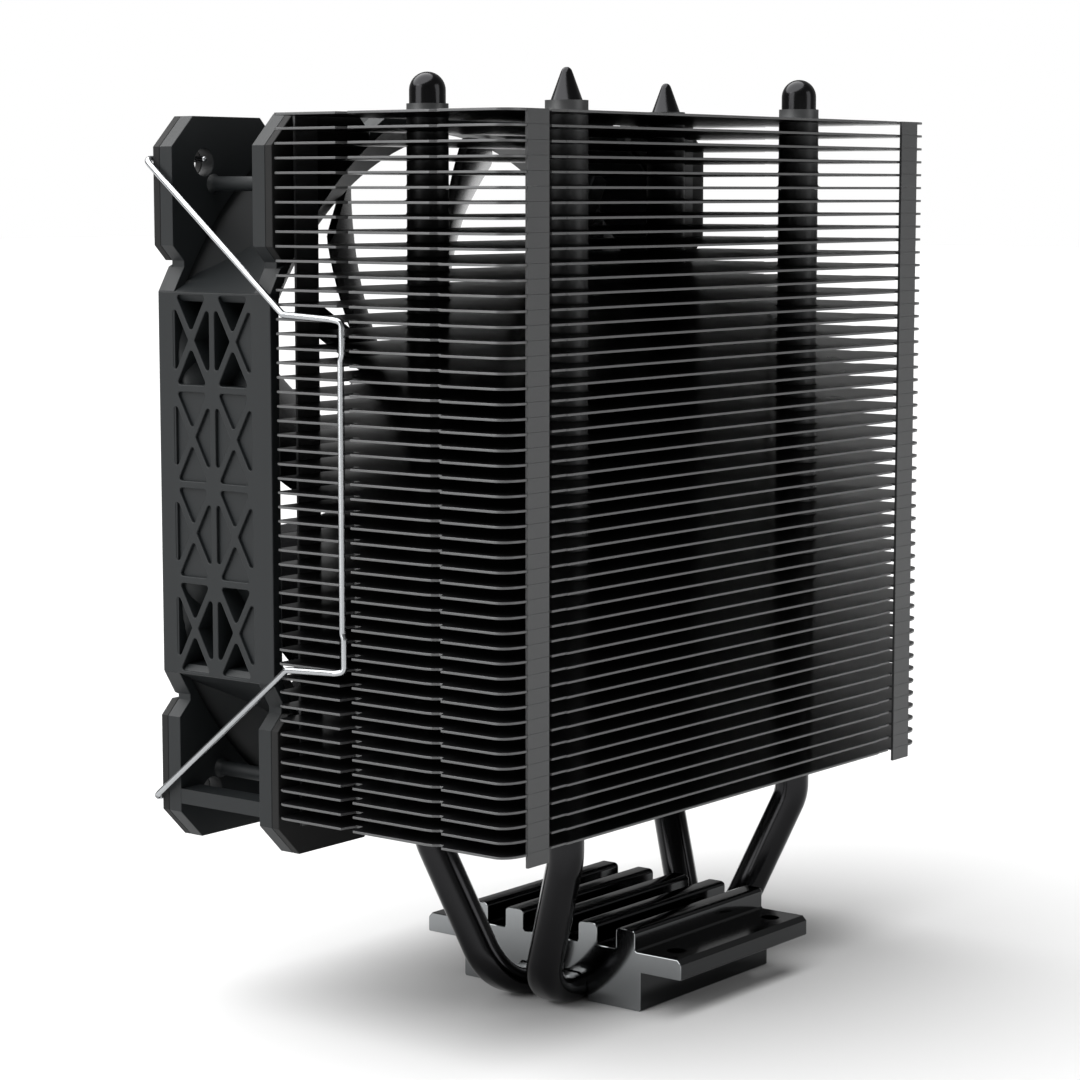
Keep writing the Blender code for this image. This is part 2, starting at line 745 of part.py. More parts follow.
def flared_mouth(face, inward, first, last, wall, flat):
    """A cone of 45 degrees that narrows into the duct, cut off square where the side panels are.

    It runs from one depth under the fan's face to another. The wall and the flat are what its
    radius and the square's half width are more than those of the air's way.
    """
    near = face + inward * first
    far = face + inward * last
    near_radius = FLARE_RADIUS + wall - first
    far_radius = FLARE_RADIUS + wall - last
    if inward > 0:
        cone = cylinder(near_radius, near, far, (0.0, FAN_Z), "Y", DUCT_SIDES, far_radius)
    else:
        cone = cylinder(far_radius, far, near, (0.0, FAN_Z), "Y", DUCT_SIDES, near_radius)
    half = DUCT_RADIUS + FLARE_SQUARE_GAP + flat
    low = min(near, far) - OVERSHOOT
    high = max(near, far) + OVERSHOOT
    return combine(cone, [box((-half, low, FAN_Z - half), (half, high, FAN_Z + half))], "INTERSECT")


def mouth_walls():
    """The outsides of both flared mouths, which start inside the flanges and end inside the duct's wall."""
    last = FLARE_RADIUS + FLARE_WALL - DUCT_RADIUS - DUCT_WALL / 2
    first = PAD_RECESS + 0.4 * MM
    return [
        flared_mouth(face, inward, first, last, FLARE_WALL, DUCT_WALL)
        for face, inward in ((FAN_FRONT, 1), (FAN_REAR, -1))
    ]


def mouth_openings():
    """The air's way through both flared mouths."""
    last = FLARE_RADIUS - DUCT_RADIUS + OVERSHOOT
    return [
        flared_mouth(face, inward, -OVERSHOOT, last, 0.0, 0.0)
        for face, inward in ((FAN_FRONT, 1), (FAN_REAR, -1))
    ]


def corner_fittings():
    """The tie posts between the flanges, and the low webs that the cable would lie on."""
    start = FAN_FRONT + FLANGE_PLATE - OVERSHOOT
    end = FAN_REAR - FLANGE_PLATE + OVERSHOOT
    pieces = [
        cylinder(POST_RADIUS, start, end, (x * POST_X, FAN_Z + z * POST_Z), "Y", 10) for x, z in CORNERS
    ]
    low = FAN_Z - WEB_Z - WEB_THICKNESS / 2
    for side in (-1, 1):
        near = side * (FAN_SIZE / 2 - 6.0 * MM)
        far = side * FAN_SIZE / 2
        pieces.append(box((min(near, far), start, low), (max(near, far), end, low + WEB_THICKNESS)))
    return pieces


def make_fan_frame():
    outer = DUCT_RADIUS + DUCT_WALL
    frame = prism(raised(flange_outline()), FAN_FRONT, FAN_FRONT + FLANGE_PLATE)
    join(frame, prism(raised(flange_outline()), FAN_REAR - FLANGE_PLATE, FAN_REAR))
    inset = 0.5 * MM
    join(frame, cylinder(outer, FAN_FRONT + inset, FAN_REAR - inset, (0.0, FAN_Z), "Y", DUCT_SIDES))
    join(frame, *[side_panel(turn) for turn in range(4)])
    join(frame, *mouth_walls())
    join(frame, *corner_fittings())
    start = FAN_FRONT - OVERSHOOT
    end = FAN_REAR + OVERSHOOT
    cut(frame, cylinder(DUCT_RADIUS, start, end, (0.0, FAN_Z), "Y", DUCT_SIDES))
    half = FAN_HOLE_SPACING / 2
    for x, z in CORNERS:
        cut(frame, cylinder(FAN_HOLE_RADIUS, start, end, (x * half, FAN_Z + z * half), "Y", 12))
    for x, z in CORNERS:
        recess = at_corner(pad_outline(GAP), x, z)
        cut(frame, prism(recess, start, FAN_FRONT + PAD_RECESS))
        cut(frame, prism(recess, FAN_REAR - PAD_RECESS, end))
    cut(frame, *mouth_openings())
    cut_lattice(frame)
    join(frame, *motor_mount())
    cut(frame, *motor_cuts())
    finish(frame, "fan_frame", FAN_PLASTIC)


def motor_mount():
    """The plate and seat that hold the motor, and the struts that tie them to the duct."""
    plate = cylinder(MOTOR_PLATE_RADIUS, MOTOR_FRONT, FAN_REAR - 0.2 * MM, (0.0, FAN_Z), "Y", 40)
    seat_front = SLEEVE_END - BEARING_LENGTH + 0.2 * MM
    seat = cylinder(SEAT_RADIUS + SEAT_WALL, seat_front, MOTOR_FRONT + 0.5 * MM, (0.0, FAN_Z), "Y", 16)
    pieces = [plate, seat]
    for number in range(STRUT_COUNT):
        angle = STRUT_FIRST_ANGLE + 2 * math.pi * number / STRUT_COUNT
        inner = MOTOR_PLATE_RADIUS - OVERSHOOT
        outer = mouth_radius(angle, 0.4 * MM) + DUCT_WALL / 2
        start = FAN_REAR - STRUT_THICKNESS - 0.2 * MM
        strut = box((inner, start, -STRUT_WIDTH / 2), (outer, FAN_REAR - 0.4 * MM, STRUT_WIDTH / 2))
        strut.data.transform(Matrix.Translation((0, 0, FAN_Z)) @ Matrix.Rotation(-angle, 4, "Y"))
        pieces.append(strut)
    return pieces


def motor_cuts():
    """The bearing seat, the recess for the label, and the notch where a cable would leave."""
    seat = cylinder(SEAT_RADIUS, FAN_REAR - 60 * MM, FAN_REAR + OVERSHOOT, (0.0, FAN_Z), "Y", 16)
    recess_start = FAN_REAR - 0.2 * MM - LABEL_THICKNESS - GAP
    recess = cylinder(LABEL_RADIUS + GAP, recess_start, FAN_REAR + OVERSHOOT, (0.0, FAN_Z), "Y", 40)
    edge = MOTOR_PLATE_RADIUS
    notch = box(
        (-1.5 * MM, MOTOR_FRONT - OVERSHOOT, FAN_Z - edge - OVERSHOOT),
        (1.5 * MM, FAN_REAR + OVERSHOOT, FAN_Z - edge + 2.5 * MM),
    )
    return [seat, recess, notch]


def make_pads():
    """The rubber pads on the corner ears, each with the fan's screw hole through it."""
    names = {(1, 1): "upper_left", (-1, 1): "upper_right", (1, -1): "lower_left", (-1, -1): "lower_right"}
    half = FAN_HOLE_SPACING / 2
    for x, z in CORNERS:
        for place, start in (
            ("front", FAN_FRONT - PAD_STANDS_PROUD),
            ("rear", FAN_REAR + PAD_STANDS_PROUD - PAD_THICKNESS),
        ):
            pad = prism(at_corner(pad_outline(0.0), x, z), start, start + PAD_THICKNESS)
            hole = cylinder(
                FAN_HOLE_RADIUS,
                start - OVERSHOOT,
                start + PAD_THICKNESS + OVERSHOOT,
                (x * half, FAN_Z + z * half),
                "Y",
                12,
            )
            cut(pad, hole)
            finish(pad, f"{place}_pad_{names[(x, z)]}", PAD_RUBBER)


# ---------------------------------------------------------------- rotor


def blade_point(part_out, part_along, thickness):
    """A point of a blade: how far out from the hub, how far from rear edge to front edge, both 0 to 1.

    The rear edge leans round by 28 degrees from root to tip and the front edge by 14, so the blade is
    swept and ends in a point. It climbs from the rear of the hub to its front, and bellies a little
    between its two edges.
    """
    radius = HUB_RADIUS - HUB_WALL / 2 + (BLADE_TIP_RADIUS - HUB_RADIUS + HUB_WALL / 2) * part_out
    rear_angle = math.radians(60 + 28 * part_out)
    front_angle = math.radians(98 + 14 * part_out)
    angle = rear_angle + (front_angle - rear_angle) * part_along
    rear = FAN_REAR - 4.2 * MM
    front = FAN_FRONT + 2.6 * MM
    belly = 2.2 * MM * math.sin(math.pi * part_along)
    along = rear + (front - rear) * part_along + belly + thickness
    return Vector((radius * math.cos(angle), along, radius * math.sin(angle)))


def blade(number):
    """One blade: an open curved sheet between its edges, given its thickness on both faces."""
    out_steps = 3
    along_steps = 4
    shape = bmesh.new()
    layers = []
    for thickness in (-BLADE_THICKNESS / 2, BLADE_THICKNESS / 2):
        layer = []
        for i in range(out_steps + 1):
            row = [blade_point(i / out_steps, j / along_steps, thickness) for j in range(along_steps + 1)]
            layer.append([shape.verts.new(point) for point in row])
        layers.append(layer)
    for layer in layers:
        for i in range(out_steps):
            for j in range(along_steps):
                shape.faces.new((layer[i][j], layer[i + 1][j], layer[i + 1][j + 1], layer[i][j + 1]))
    near, far = layers
    rim = [(i, 0) for i in range(out_steps)] + [(out_steps, j) for j in range(along_steps)]
    rim += [(i, along_steps) for i in range(out_steps, 0, -1)] + [(0, j) for j in range(along_steps, 0, -1)]
    for index, (i, j) in enumerate(rim):
        m, n = rim[(index + 1) % len(rim)]
        shape.faces.new((near[i][j], near[m][n], far[m][n], far[i][j]))
    turn = Matrix.Rotation(2 * math.pi * number / BLADE_COUNT, 4, "Y")
    bmesh.ops.transform(shape, matrix=Matrix.Translation((0, 0, FAN_Z)) @ turn, verts=shape.verts)
    return bmesh_object("blade", shape)


def make_impeller():
    """The hub cup and its blades, moulded in one."""
    rear = FAN_REAR - 3.9 * MM
    inner = HUB_RADIUS - HUB_WALL
    profile = [
        (0.0, HUB_FRONT),
        (HUB_RADIUS - 2.0 * MM, HUB_FRONT),
        (HUB_RADIUS, HUB_FRONT + 2.0 * MM),
        (HUB_RADIUS, rear),
        (inner, rear),
        (inner, HUB_FRONT + HUB_WALL),
        (0.0, HUB_FRONT + HUB_WALL),
    ]
    hub = turned_solid(profile, 36)
    join(hub, *[blade(number) for number in range(BLADE_COUNT)])
    hang_on_fan_axis(finish(hub, "impeller", BLADE_PLASTIC, 35))


def turned_solid(profile, sides):
    """A turned shape whose profile starts and ends on the axis."""
    mesh = bpy.data.meshes.new("profile")
    points = [(radius, place, 0.0) for radius, place in profile]
    mesh.from_pydata(points, [(index, index + 1) for index in range(len(points) - 1)], [])
    obj = helper(add_object("turned", mesh))
    screw = obj.modifiers.new("turn", "SCREW")
    screw.axis = "Y"
    screw.steps = sides
    screw.render_steps = sides
    screw.use_merge_vertices = True
    screw.merge_threshold = 0.00001
    settle(obj)
    shape = bmesh.new()
    shape.from_mesh(obj.data)
    bmesh.ops.remove_doubles(shape, verts=shape.verts, dist=0.00001)
    bmesh.ops.recalc_face_normals(shape, faces=shape.faces)
    bmesh.ops.translate(shape, verts=shape.verts, vec=(0, 0, FAN_Z))
    shape.to_mesh(obj.data)
    shape.free()
    return obj


def make_rotor_metalwork():
    """The steel yoke, the ring magnet, the shaft and the ring that keeps it in its bearing."""
    yoke_outer = HUB_RADIUS - HUB_WALL - GAP
    yoke_inner = yoke_outer - YOKE_WALL
    yoke_front = HUB_FRONT + HUB_WALL + GAP
    yoke_rear = FAN_REAR - 6.0 * MM
    hole = SHAFT_RADIUS + GAP
    profile = [
        (hole, yoke_front),
        (yoke_outer, yoke_front),
        (yoke_outer, yoke_rear),
        (yoke_inner, yoke_rear),
        (yoke_inner, yoke_front + YOKE_WALL),
        (hole, yoke_front + YOKE_WALL),
    ]
    yoke = turned(profile, (0.0, FAN_Z), 36)
    settle_place(yoke)
    hang_on_fan_axis(finish(yoke, "rotor_yoke", PLAIN_STEEL, 35))

    magnet_outer = yoke_inner - GAP
    magnet_inner = magnet_outer - MAGNET_WALL
    magnet = tube_ring(magnet_inner, magnet_outer, yoke_front + 3.0 * MM, yoke_rear - 1.0 * MM, 36)
    settle_place(magnet)
    hang_on_fan_axis(finish(magnet, "ring_magnet", MAGNET_GREY, 35))

    groove = SLEEVE_END + 0.2 * MM
    profile = [
        (0.0, yoke_front),
        (SHAFT_RADIUS, yoke_front),
        (SHAFT_RADIUS, groove),
        (SHAFT_RADIUS - 0.5 * MM, groove),
        (SHAFT_RADIUS - 0.5 * MM, groove + 0.9 * MM),
        (SHAFT_RADIUS, groove + 0.9 * MM),
        (SHAFT_RADIUS - 0.2 * MM, SHAFT_TIP),
        (0.0, SHAFT_TIP),
    ]
    shaft = turned_solid(profile, 16)
    hang_on_fan_axis(finish(shaft, "rotor_shaft", PLAIN_STEEL, 35))

    start = groove + 0.25 * MM
    keeper_inner = SHAFT_RADIUS - 0.4 * MM
    keeper = tube_ring(keeper_inner, keeper_inner + 1.3 * MM, start, start + 0.4 * MM, 16)
    settle_place(keeper)
    hang_on_fan_axis(finish(keeper, "shaft_retaining_ring", PLAIN_STEEL, 35))


def settle_place(obj):
    """Moves an object's place into its mesh, so that its origin is at the world's."""
    obj.data.transform(Matrix.Translation(obj.location))
    obj.location = (0.0, 0.0, 0.0)


# ---------------------------------------------------------------- stator


def stator_middle():
    return MOTOR_FRONT - 3.6 * MM - STATOR_STACK / 2 - COIL_WALL


def make_stator():
    """The laminated core, its coils and insulators, and the board that drives them."""
    middle = stator_middle()
    start = middle - STATOR_STACK / 2
    end = middle + STATOR_STACK / 2
    bore = SEAT_RADIUS + SEAT_WALL + GAP
    root = bore + 1.8 * MM
    core = cylinder(root, start, end, (0.0, FAN_Z), "Y", 16)
    shoe_inner = STATOR_RADIUS - POLE_THICKNESS
    for number in range(ARM_COUNT):
        turn = Matrix.Rotation(2 * math.pi * number / ARM_COUNT, 4, "Y")
        place = Matrix.Translation((0, 0, FAN_Z)) @ turn
        arm = box((bore + 0.5 * MM, start, -ARM_WIDTH / 2), (shoe_inner + 0.6 * MM, end, ARM_WIDTH / 2))
        arm.data.transform(place)
        outer = arc((0.0, 0.0), STATOR_RADIUS, -34, 34, 8)
        inner = arc((0.0, 0.0), shoe_inner, 34, -34, 8)
        shoe = prism(outer + inner, start, end)
        shoe.data.transform(place)
        join(core, arm, shoe)
    cut(core, cylinder(bore, start - OVERSHOOT, end + OVERSHOOT, (0.0, FAN_Z), "Y", 16))
    finish(core, "stator_core", PLAIN_STEEL)

    for number in range(ARM_COUNT):
        make_coil(number, start, end, root + 0.6 * MM, shoe_inner)
    for name, face, step in (("front", start, -1), ("rear", end, 1)):
        near = face + step * GAP
        far = near + step * INSULATOR_THICKNESS
        ring = tube_ring(bore, root - 0.2 * MM, min(near, far), max(near, far), 16)
        settle_place(ring)
        finish(ring, f"stator_insulator_{name}", INSULATOR, 35)

    board_end = MOTOR_FRONT - 0.6 * MM
    board = tube_ring(bore, BOARD_RADIUS, board_end - BOARD_THICKNESS, board_end, 16)
    settle_place(board)
    finish(board, "circuit_board", BOARD_GREEN, 35)


def make_coil(number, start, end, inner, shoe_inner):
    """A winding round one arm of the core: a block with softened edges and a hole for the arm."""
    half = ARM_WIDTH / 2
    winding = min(COIL_WALL, inner * math.tan(math.pi / ARM_COUNT) - half - GAP)
    outer = math.sqrt(shoe_inner**2 - (half + GAP + winding) ** 2) - 2 * GAP
    outline = [
        (half + GAP + winding, start - GAP + 0.6 * MM),
        (half + GAP + winding, end + GAP - 0.6 * MM),
        (half + 0.4 * MM, end + GAP + COIL_WALL),
        (-half - 0.4 * MM, end + GAP + COIL_WALL),
        (-half - GAP - winding, end + GAP - 0.6 * MM),
        (-half - GAP - winding, start - GAP + 0.6 * MM),
        (-half - 0.4 * MM, start - GAP - COIL_WALL),
        (half + 0.4 * MM, start - GAP - COIL_WALL),
    ]
    coil = prism([(y, z) for z, y in outline], inner, outer, "X")
    cut(coil, box((inner - OVERSHOOT, start - GAP, -half - GAP), (outer + OVERSHOOT, end + GAP, half + GAP)))
    turn = Matrix.Rotation(2 * math.pi * number / ARM_COUNT, 4, "Y")
    coil.data.transform(Matrix.Translation((0, 0, FAN_Z)) @ turn)
    finish(coil, f"stator_coil_{number + 1}", COPPER)


def make_bearing():
    """The sleeve that the shaft runs in, the washer behind it and the label that closes the seat."""
    bore = (SHAFT_RADIUS + BEARING_CLEARANCE) / math.cos(math.pi / 16)
    sleeve = tube_ring(bore, SEAT_RADIUS - GAP, SLEEVE_END - BEARING_LENGTH, SLEEVE_END, 16)
    settle_place(sleeve)
    finish(sleeve, "bearing_sleeve", BRONZE, 35)

    label_end = FAN_REAR - 0.2 * MM
    label_start = label_end - LABEL_THICKNESS
    label = cylinder(LABEL_RADIUS, label_start, label_end, (0.0, FAN_Z), "Y", 40)
    finish(label, "hub_label", LABEL_BLACK)

    washer_start = SHAFT_TIP + GAP
    washer_end = washer_start + WASHER_THICKNESS
    washer = cylinder(SEAT_RADIUS - GAP, washer_start, washer_end, (0.0, FAN_Z), "Y", 16)
    finish(washer, "thrust_washer", INSULATOR)


# ---------------------------------------------------------------- wire clips


def clip_route():
    """The +X clip's middle line from its upper hook to its lower one, as (x, y, z)."""
    grip_y = CLIP_NOTCH_Y
    shoulder_y = STACK_FRONT + 2.7 * MM
    hook_y = CLIP_HINGE_Y + CLIP_HOOK_LENGTH
    corner = 0.9 * MM
    half = [
        (CLIP_HINGE_X, hook_y, CLIP_HOOK_HALF_SPAN),
        (CLIP_HINGE_X, CLIP_HINGE_Y + corner, CLIP_HOOK_HALF_SPAN),
        (CLIP_HINGE_X + corner, CLIP_HINGE_Y, CLIP_HOOK_HALF_SPAN),
        (CLIP_X - corner, CLIP_HINGE_Y, CLIP_HOOK_HALF_SPAN),
        (CLIP_X, CLIP_HINGE_Y + corner, CLIP_HOOK_HALF_SPAN - 0.5 * MM),
        (CLIP_X, shoulder_y - corner, CLIP_GRIP_HALF_SPAN + 0.8 * MM),
        (CLIP_X, shoulder_y + corner, CLIP_GRIP_HALF_SPAN),
        (CLIP_X, shoulder_y + CLIP_SHOULDER_REACH, CLIP_GRIP_HALF_SPAN),
        (CLIP_X - CLIP_GRIP_DEPTH, grip_y, CLIP_GRIP_HALF_SPAN - corner),
    ]
    upper = [(x, y, FAN_Z + z) for x, y, z in half]
    lower = [(x, y, FAN_Z - z) for x, y, z in reversed(half)]
    return upper + lower


def make_clip(name, side):
    """A bent spring wire: a curve with a round section, whose origin is on the line through its hooks."""
    curve = bpy.data.curves.new(name, "CURVE")
    curve.dimensions = "3D"
    curve.bevel_depth = WIRE_RADIUS
    curve.bevel_resolution = 2
    curve.use_fill_caps = True
    origin = Vector((side * CLIP_HINGE_X, CLIP_HINGE_Y, FAN_Z))
    route = clip_route()
    spline = curve.splines.new("POLY")
    spline.points.add(len(route) - 1)
    for point, (x, y, z) in zip(spline.points, route):
        place = Vector((side * x, y, z)) - origin
        point.co = (*place, 1.0)
    obj = bpy.data.objects.new(name, curve)
    obj.location = origin
    curve.materials.append(CLIP_STEEL)
    COOLER.objects.link(obj)


def main():
    make_base()
    make_pipe("heat_pipe_front", -1, True)
    make_pipe("heat_pipe_rear", 1, False)
    make_fin_banks()
    make_fan_frame()
    make_pads()
    make_impeller()
    make_rotor_metalwork()
    make_stator()
    make_bearing()
    make_clip("wire_clip_left", 1)
    make_clip("wire_clip_right", -1)


main()
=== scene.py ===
"""Looks for a CPU tower cooler: fins, heat pipes, base, fan and wire clips, on a plain white stage.

Every size is in metres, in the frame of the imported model: the origin is the centre of the base's contact
face, +Z is up, and air flows along +Y from the fan through the fins.
"""

import math

import bmesh
import bpy
import numpy as np
from bpy.props import FloatProperty, FloatVectorProperty, IntProperty, PointerProperty
from mathutils import Matrix, Vector


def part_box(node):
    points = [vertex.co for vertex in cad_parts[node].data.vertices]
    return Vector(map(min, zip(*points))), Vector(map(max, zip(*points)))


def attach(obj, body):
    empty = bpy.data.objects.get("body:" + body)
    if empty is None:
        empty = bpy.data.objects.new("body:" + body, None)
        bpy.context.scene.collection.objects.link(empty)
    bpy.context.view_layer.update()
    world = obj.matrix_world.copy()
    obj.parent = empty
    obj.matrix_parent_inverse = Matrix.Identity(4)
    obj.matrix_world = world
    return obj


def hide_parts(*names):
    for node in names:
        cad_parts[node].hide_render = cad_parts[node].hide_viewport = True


bl_info = {
    "name": "CPU Tower Cooler",
    "version": (1, 0, 0),
    "blender": (4, 5, 0),
    "location": "View3D > Sidebar > Cooler",
    "description": "Builds the finished surfaces of a finned tower cooler around its packed frame",
    "category": "Object",
}

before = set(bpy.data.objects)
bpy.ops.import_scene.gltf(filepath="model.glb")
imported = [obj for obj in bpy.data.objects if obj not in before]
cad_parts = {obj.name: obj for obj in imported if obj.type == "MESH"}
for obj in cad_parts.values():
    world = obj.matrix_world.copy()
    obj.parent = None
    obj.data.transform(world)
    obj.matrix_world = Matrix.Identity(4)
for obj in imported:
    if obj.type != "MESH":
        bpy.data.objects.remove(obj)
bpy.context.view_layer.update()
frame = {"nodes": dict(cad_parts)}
NODES = frame["nodes"]
MM = 0.001

FAN_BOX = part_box("fan_frame")
FAN_CENTRE_Z = (FAN_BOX[0].z + FAN_BOX[1].z) / 2
FAN_FRONT = FAN_BOX[0].y
FAN_REAR = FAN_BOX[1].y
STACK_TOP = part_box("fin_bank_01")[1].z
STACK_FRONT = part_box("fin_bank_01")[0].y
BANKS = sorted(name for name in NODES if name.startswith("fin_bank_"))
DOME_RINGS = 4
CORNERS = {"upper_left": (1, 1), "upper_right": (-1, 1), "lower_left": (1, -1), "lower_right": (-1, -1)}


def length(name, description, millimetres):
    """A size that the user may change, given here in millimetres."""
    return FloatProperty(
        name=name, description=description, default=millimetres * MM, min=0.0, precision=5, unit="LENGTH"
    )


def tint(name, description, value):
    return FloatVectorProperty(
        name=name, description=description, default=value, size=3, min=0.0, max=1.0, subtype="COLOR"
    )


class FinSizes(bpy.types.PropertyGroup):
    pitch: length("Pitch", "Distance from one fin to the next", 2.304)
    thickness: length("Thickness", "Thickness of one fin", 0.4)
    depth: length("Depth", "Front to rear of a fin, without its tabs", 48.2)
    half_width: length("Half width", "Middle to side edge at the front of a fin", 60.3)
    collar_radius: length("Collar radius", "Outer radius of the collars round the heat pipes", 3.45)
    rear_tab: length("Rear tab", "Middle to the inner edge of a rear tab", 51.3)
    front_tab: length("Front tab", "Middle to the inner edge of a front tab", 50.0)
    tab_width: length("Tab width", "Width of a tab", 5.3)
    per_bank: IntProperty(name="Fins in a bank", description="Fins in each packed bank", default=5, min=1)


class PipeSizes(bpy.types.PropertyGroup):
    radius: length("Radius", "Outer radius of the round tube", 3.0)
    flat_half: length("Flat half height", "Half height where the tube is pressed flat in the base", 2.3)
    base_offset: length("Offset in the base", "Middle of the base to each tube's middle", 4.3)
    leg_x: length("Leg spread", "Middle to each leg across the fins", 33.5)
    leg_y: length("Leg depth", "Middle to each leg along the air flow", 14.2)
    rise: length("Rise", "How far the ends stand above the top fin", 7.0)


class FanSizes(bpy.types.PropertyGroup):
    duct_radius: length("Duct radius", "Inner radius of the duct", 58.0)
    duct_wall: length("Duct wall", "Thickness of the duct's wall", 1.1)
    flare_radius: length("Flare radius", "Radius of the duct's mouths at their four corners", 65.8)
    pad_radius: length("Pad radius", "Radius of the pads' inner edge about the fan's axis", 66.9)
    flange: length("Flange", "Thickness of each square flange", 3.6)
    hole_spacing: length("Hole spacing", "Distance between the screw holes", 105.0)
    hole_radius: length("Hole radius", "Radius of the screw holes", 2.25)
    hub_radius: length("Hub radius", "Outer radius of the hub", 20.5)
    tip_radius: length("Blade tip radius", "Outer radius of the blades", 57.0)
    blade_count: IntProperty(name="Blades", description="Blades on the hub", default=9, min=3)


class ClipSizes(bpy.types.PropertyGroup):
    wire_radius: length("Wire radius", "Radius of the spring wire", 0.53)
    bend_radius: length("Bend radius", "Radius of the wire's bends", 1.4)


class Finishes(bpy.types.PropertyGroup):
    fin_face: tint("Fin face", "Black coat on the broad faces of the fins", (0.012, 0.012, 0.013))
    # The fins' cut edges have no coat of their own here: this lighter colour is a painted highlight, for the light
    # that the cut edges catch.
    fin_edge: tint("Fin edge", "Lighter coat on the cut edges", (0.085, 0.086, 0.087))
    tab: tint("Tab", "Satin coat on the tabs and collars", (0.047, 0.048, 0.049))
    pipe: tint("Pipe", "Black nickel of the heat pipes", (0.022, 0.022, 0.023))
    base: tint("Base", "Black polished metal of the base", (0.035, 0.036, 0.037))
    base_end: tint("Base ends", "Lighter cut ends of the base", (0.27, 0.28, 0.285))
    frame: tint("Fan frame", "Grey moulded plastic of the fan's frame", (0.0085, 0.0100, 0.0108))
    blade: tint("Blade", "Black moulded plastic of the blades", (0.012, 0.012, 0.013))
    rubber: tint("Rubber", "Black rubber of the corner pads", (0.010, 0.010, 0.010))
    steel: tint("Steel", "Bright spring steel of the clips", (0.36, 0.37, 0.38))


class StageSettings(bpy.types.PropertyGroup):
    floor_tone: tint("Floor", "Colour of the floor", (0.52, 0.52, 0.52))
    backdrop: FloatProperty(name="Backdrop", description="Brightness of the backdrop", default=1.0, min=0.0)
    fill: FloatProperty(name="Fill light", description="Brightness of the light all round", default=0.25, min=0.0)
    side: FloatProperty(name="Side lights", description="Power of the soft boxes", default=5.0, min=0.0)
    overhead: FloatProperty(name="Top light", description="Strength of the light from above", default=7.0, min=0.0)
    lens: FloatProperty(name="Lens", description="Focal length in millimetres", default=96.99, min=1.0)


GROUPS = {
    "cooler_fins": FinSizes,
    "cooler_pipes": PipeSizes,
    "cooler_fan": FanSizes,
    "cooler_clips": ClipSizes,
    "cooler_finishes": Finishes,
    "cooler_stage": StageSettings,
}


def settings(group):
    return getattr(bpy.context.scene, group)


# ---------------------------------------------------------------- mesh helpers


def mesh_from(name, points, loops, starts, materials):
    """A mesh object from whole arrays: points, the corners of all faces in a row, and where each face starts."""
    mesh = bpy.data.meshes.new(name)
    points = np.asarray(points, np.float32)
    loops = np.asarray(loops, np.int32).ravel()
    starts = np.asarray(starts, np.int32)
    mesh.vertices.add(len(points))
    mesh.vertices.foreach_set("co", points.ravel())
    mesh.loops.add(len(loops))
    mesh.loops.foreach_set("vertex_index", loops)
    mesh.polygons.add(len(starts))
    mesh.polygons.foreach_set("loop_start", starts)
    mesh.update(calc_edges=True)
    mesh.validate()
    for material in materials:
        mesh.materials.append(material)
    obj = bpy.data.objects.new(name, mesh)
    bpy.context.scene.collection.objects.link(obj)
    return obj


def quads(rows, columns, wrap_rows=False, wrap_columns=False):
    """Corner numbers of the squares of a grid whose points are stored row by row."""
    row = np.arange(rows if wrap_rows else rows - 1)
    column = np.arange(columns if wrap_columns else columns - 1)
    r, c = np.meshgrid(row, column, indexing="ij")
    r2 = (r + 1) % rows
    c2 = (c + 1) % columns
    return np.stack([r * columns + c, r * columns + c2, r2 * columns + c2, r2 * columns + c], -1).reshape(-1, 4)


def quad_mesh(name, points, faces, materials, smooth=40.0):
    """An object from points and four-cornered faces, smooth except across sharp edges, facing outwards."""
    faces = np.asarray(faces).reshape(-1, 4)
    obj = mesh_from(name, points, faces, np.arange(len(faces)) * 4, materials)
    tidy_mesh(obj, smooth)
    return obj


def tidy_mesh(obj, smooth):
    """Merges doubled points, turns the faces outwards and sets smooth shading up to an angle in degrees."""
    shape = bmesh.new()
    shape.from_mesh(obj.data)
    bmesh.ops.remove_doubles(shape, verts=shape.verts, dist=1e-6)
    bmesh.ops.recalc_face_normals(shape, faces=shape.faces)
    shape.to_mesh(obj.data)
    shape.free()
    if smooth:
        obj.data.shade_smooth()
        obj.data.set_sharp_from_angle(angle=math.radians(smooth))


def turned(name, profile, steps, centre, materials, closed=False, smooth=40.0):
    """A surface turned about the line x, z = centre, along Y.

    The profile's points are (radius, y). A point at radius r and angle a sits at x = r cos a, z = r sin a.
    """
    profile = np.asarray(profile, float)
    angle = np.linspace(0, 2 * np.pi, steps, endpoint=False)
    radius = profile[:, 0][:, None]
    x = centre[0] + radius * np.cos(angle)[None, :]
    z = centre[1] + radius * np.sin(angle)[None, :]
    y = np.repeat(profile[:, 1][:, None], steps, axis=1)
    points = np.stack([x, y, z], -1).reshape(-1, 3)
    faces = quads(len(profile), steps, wrap_rows=closed, wrap_columns=True)
    return quad_mesh(name, points, faces, materials, smooth)


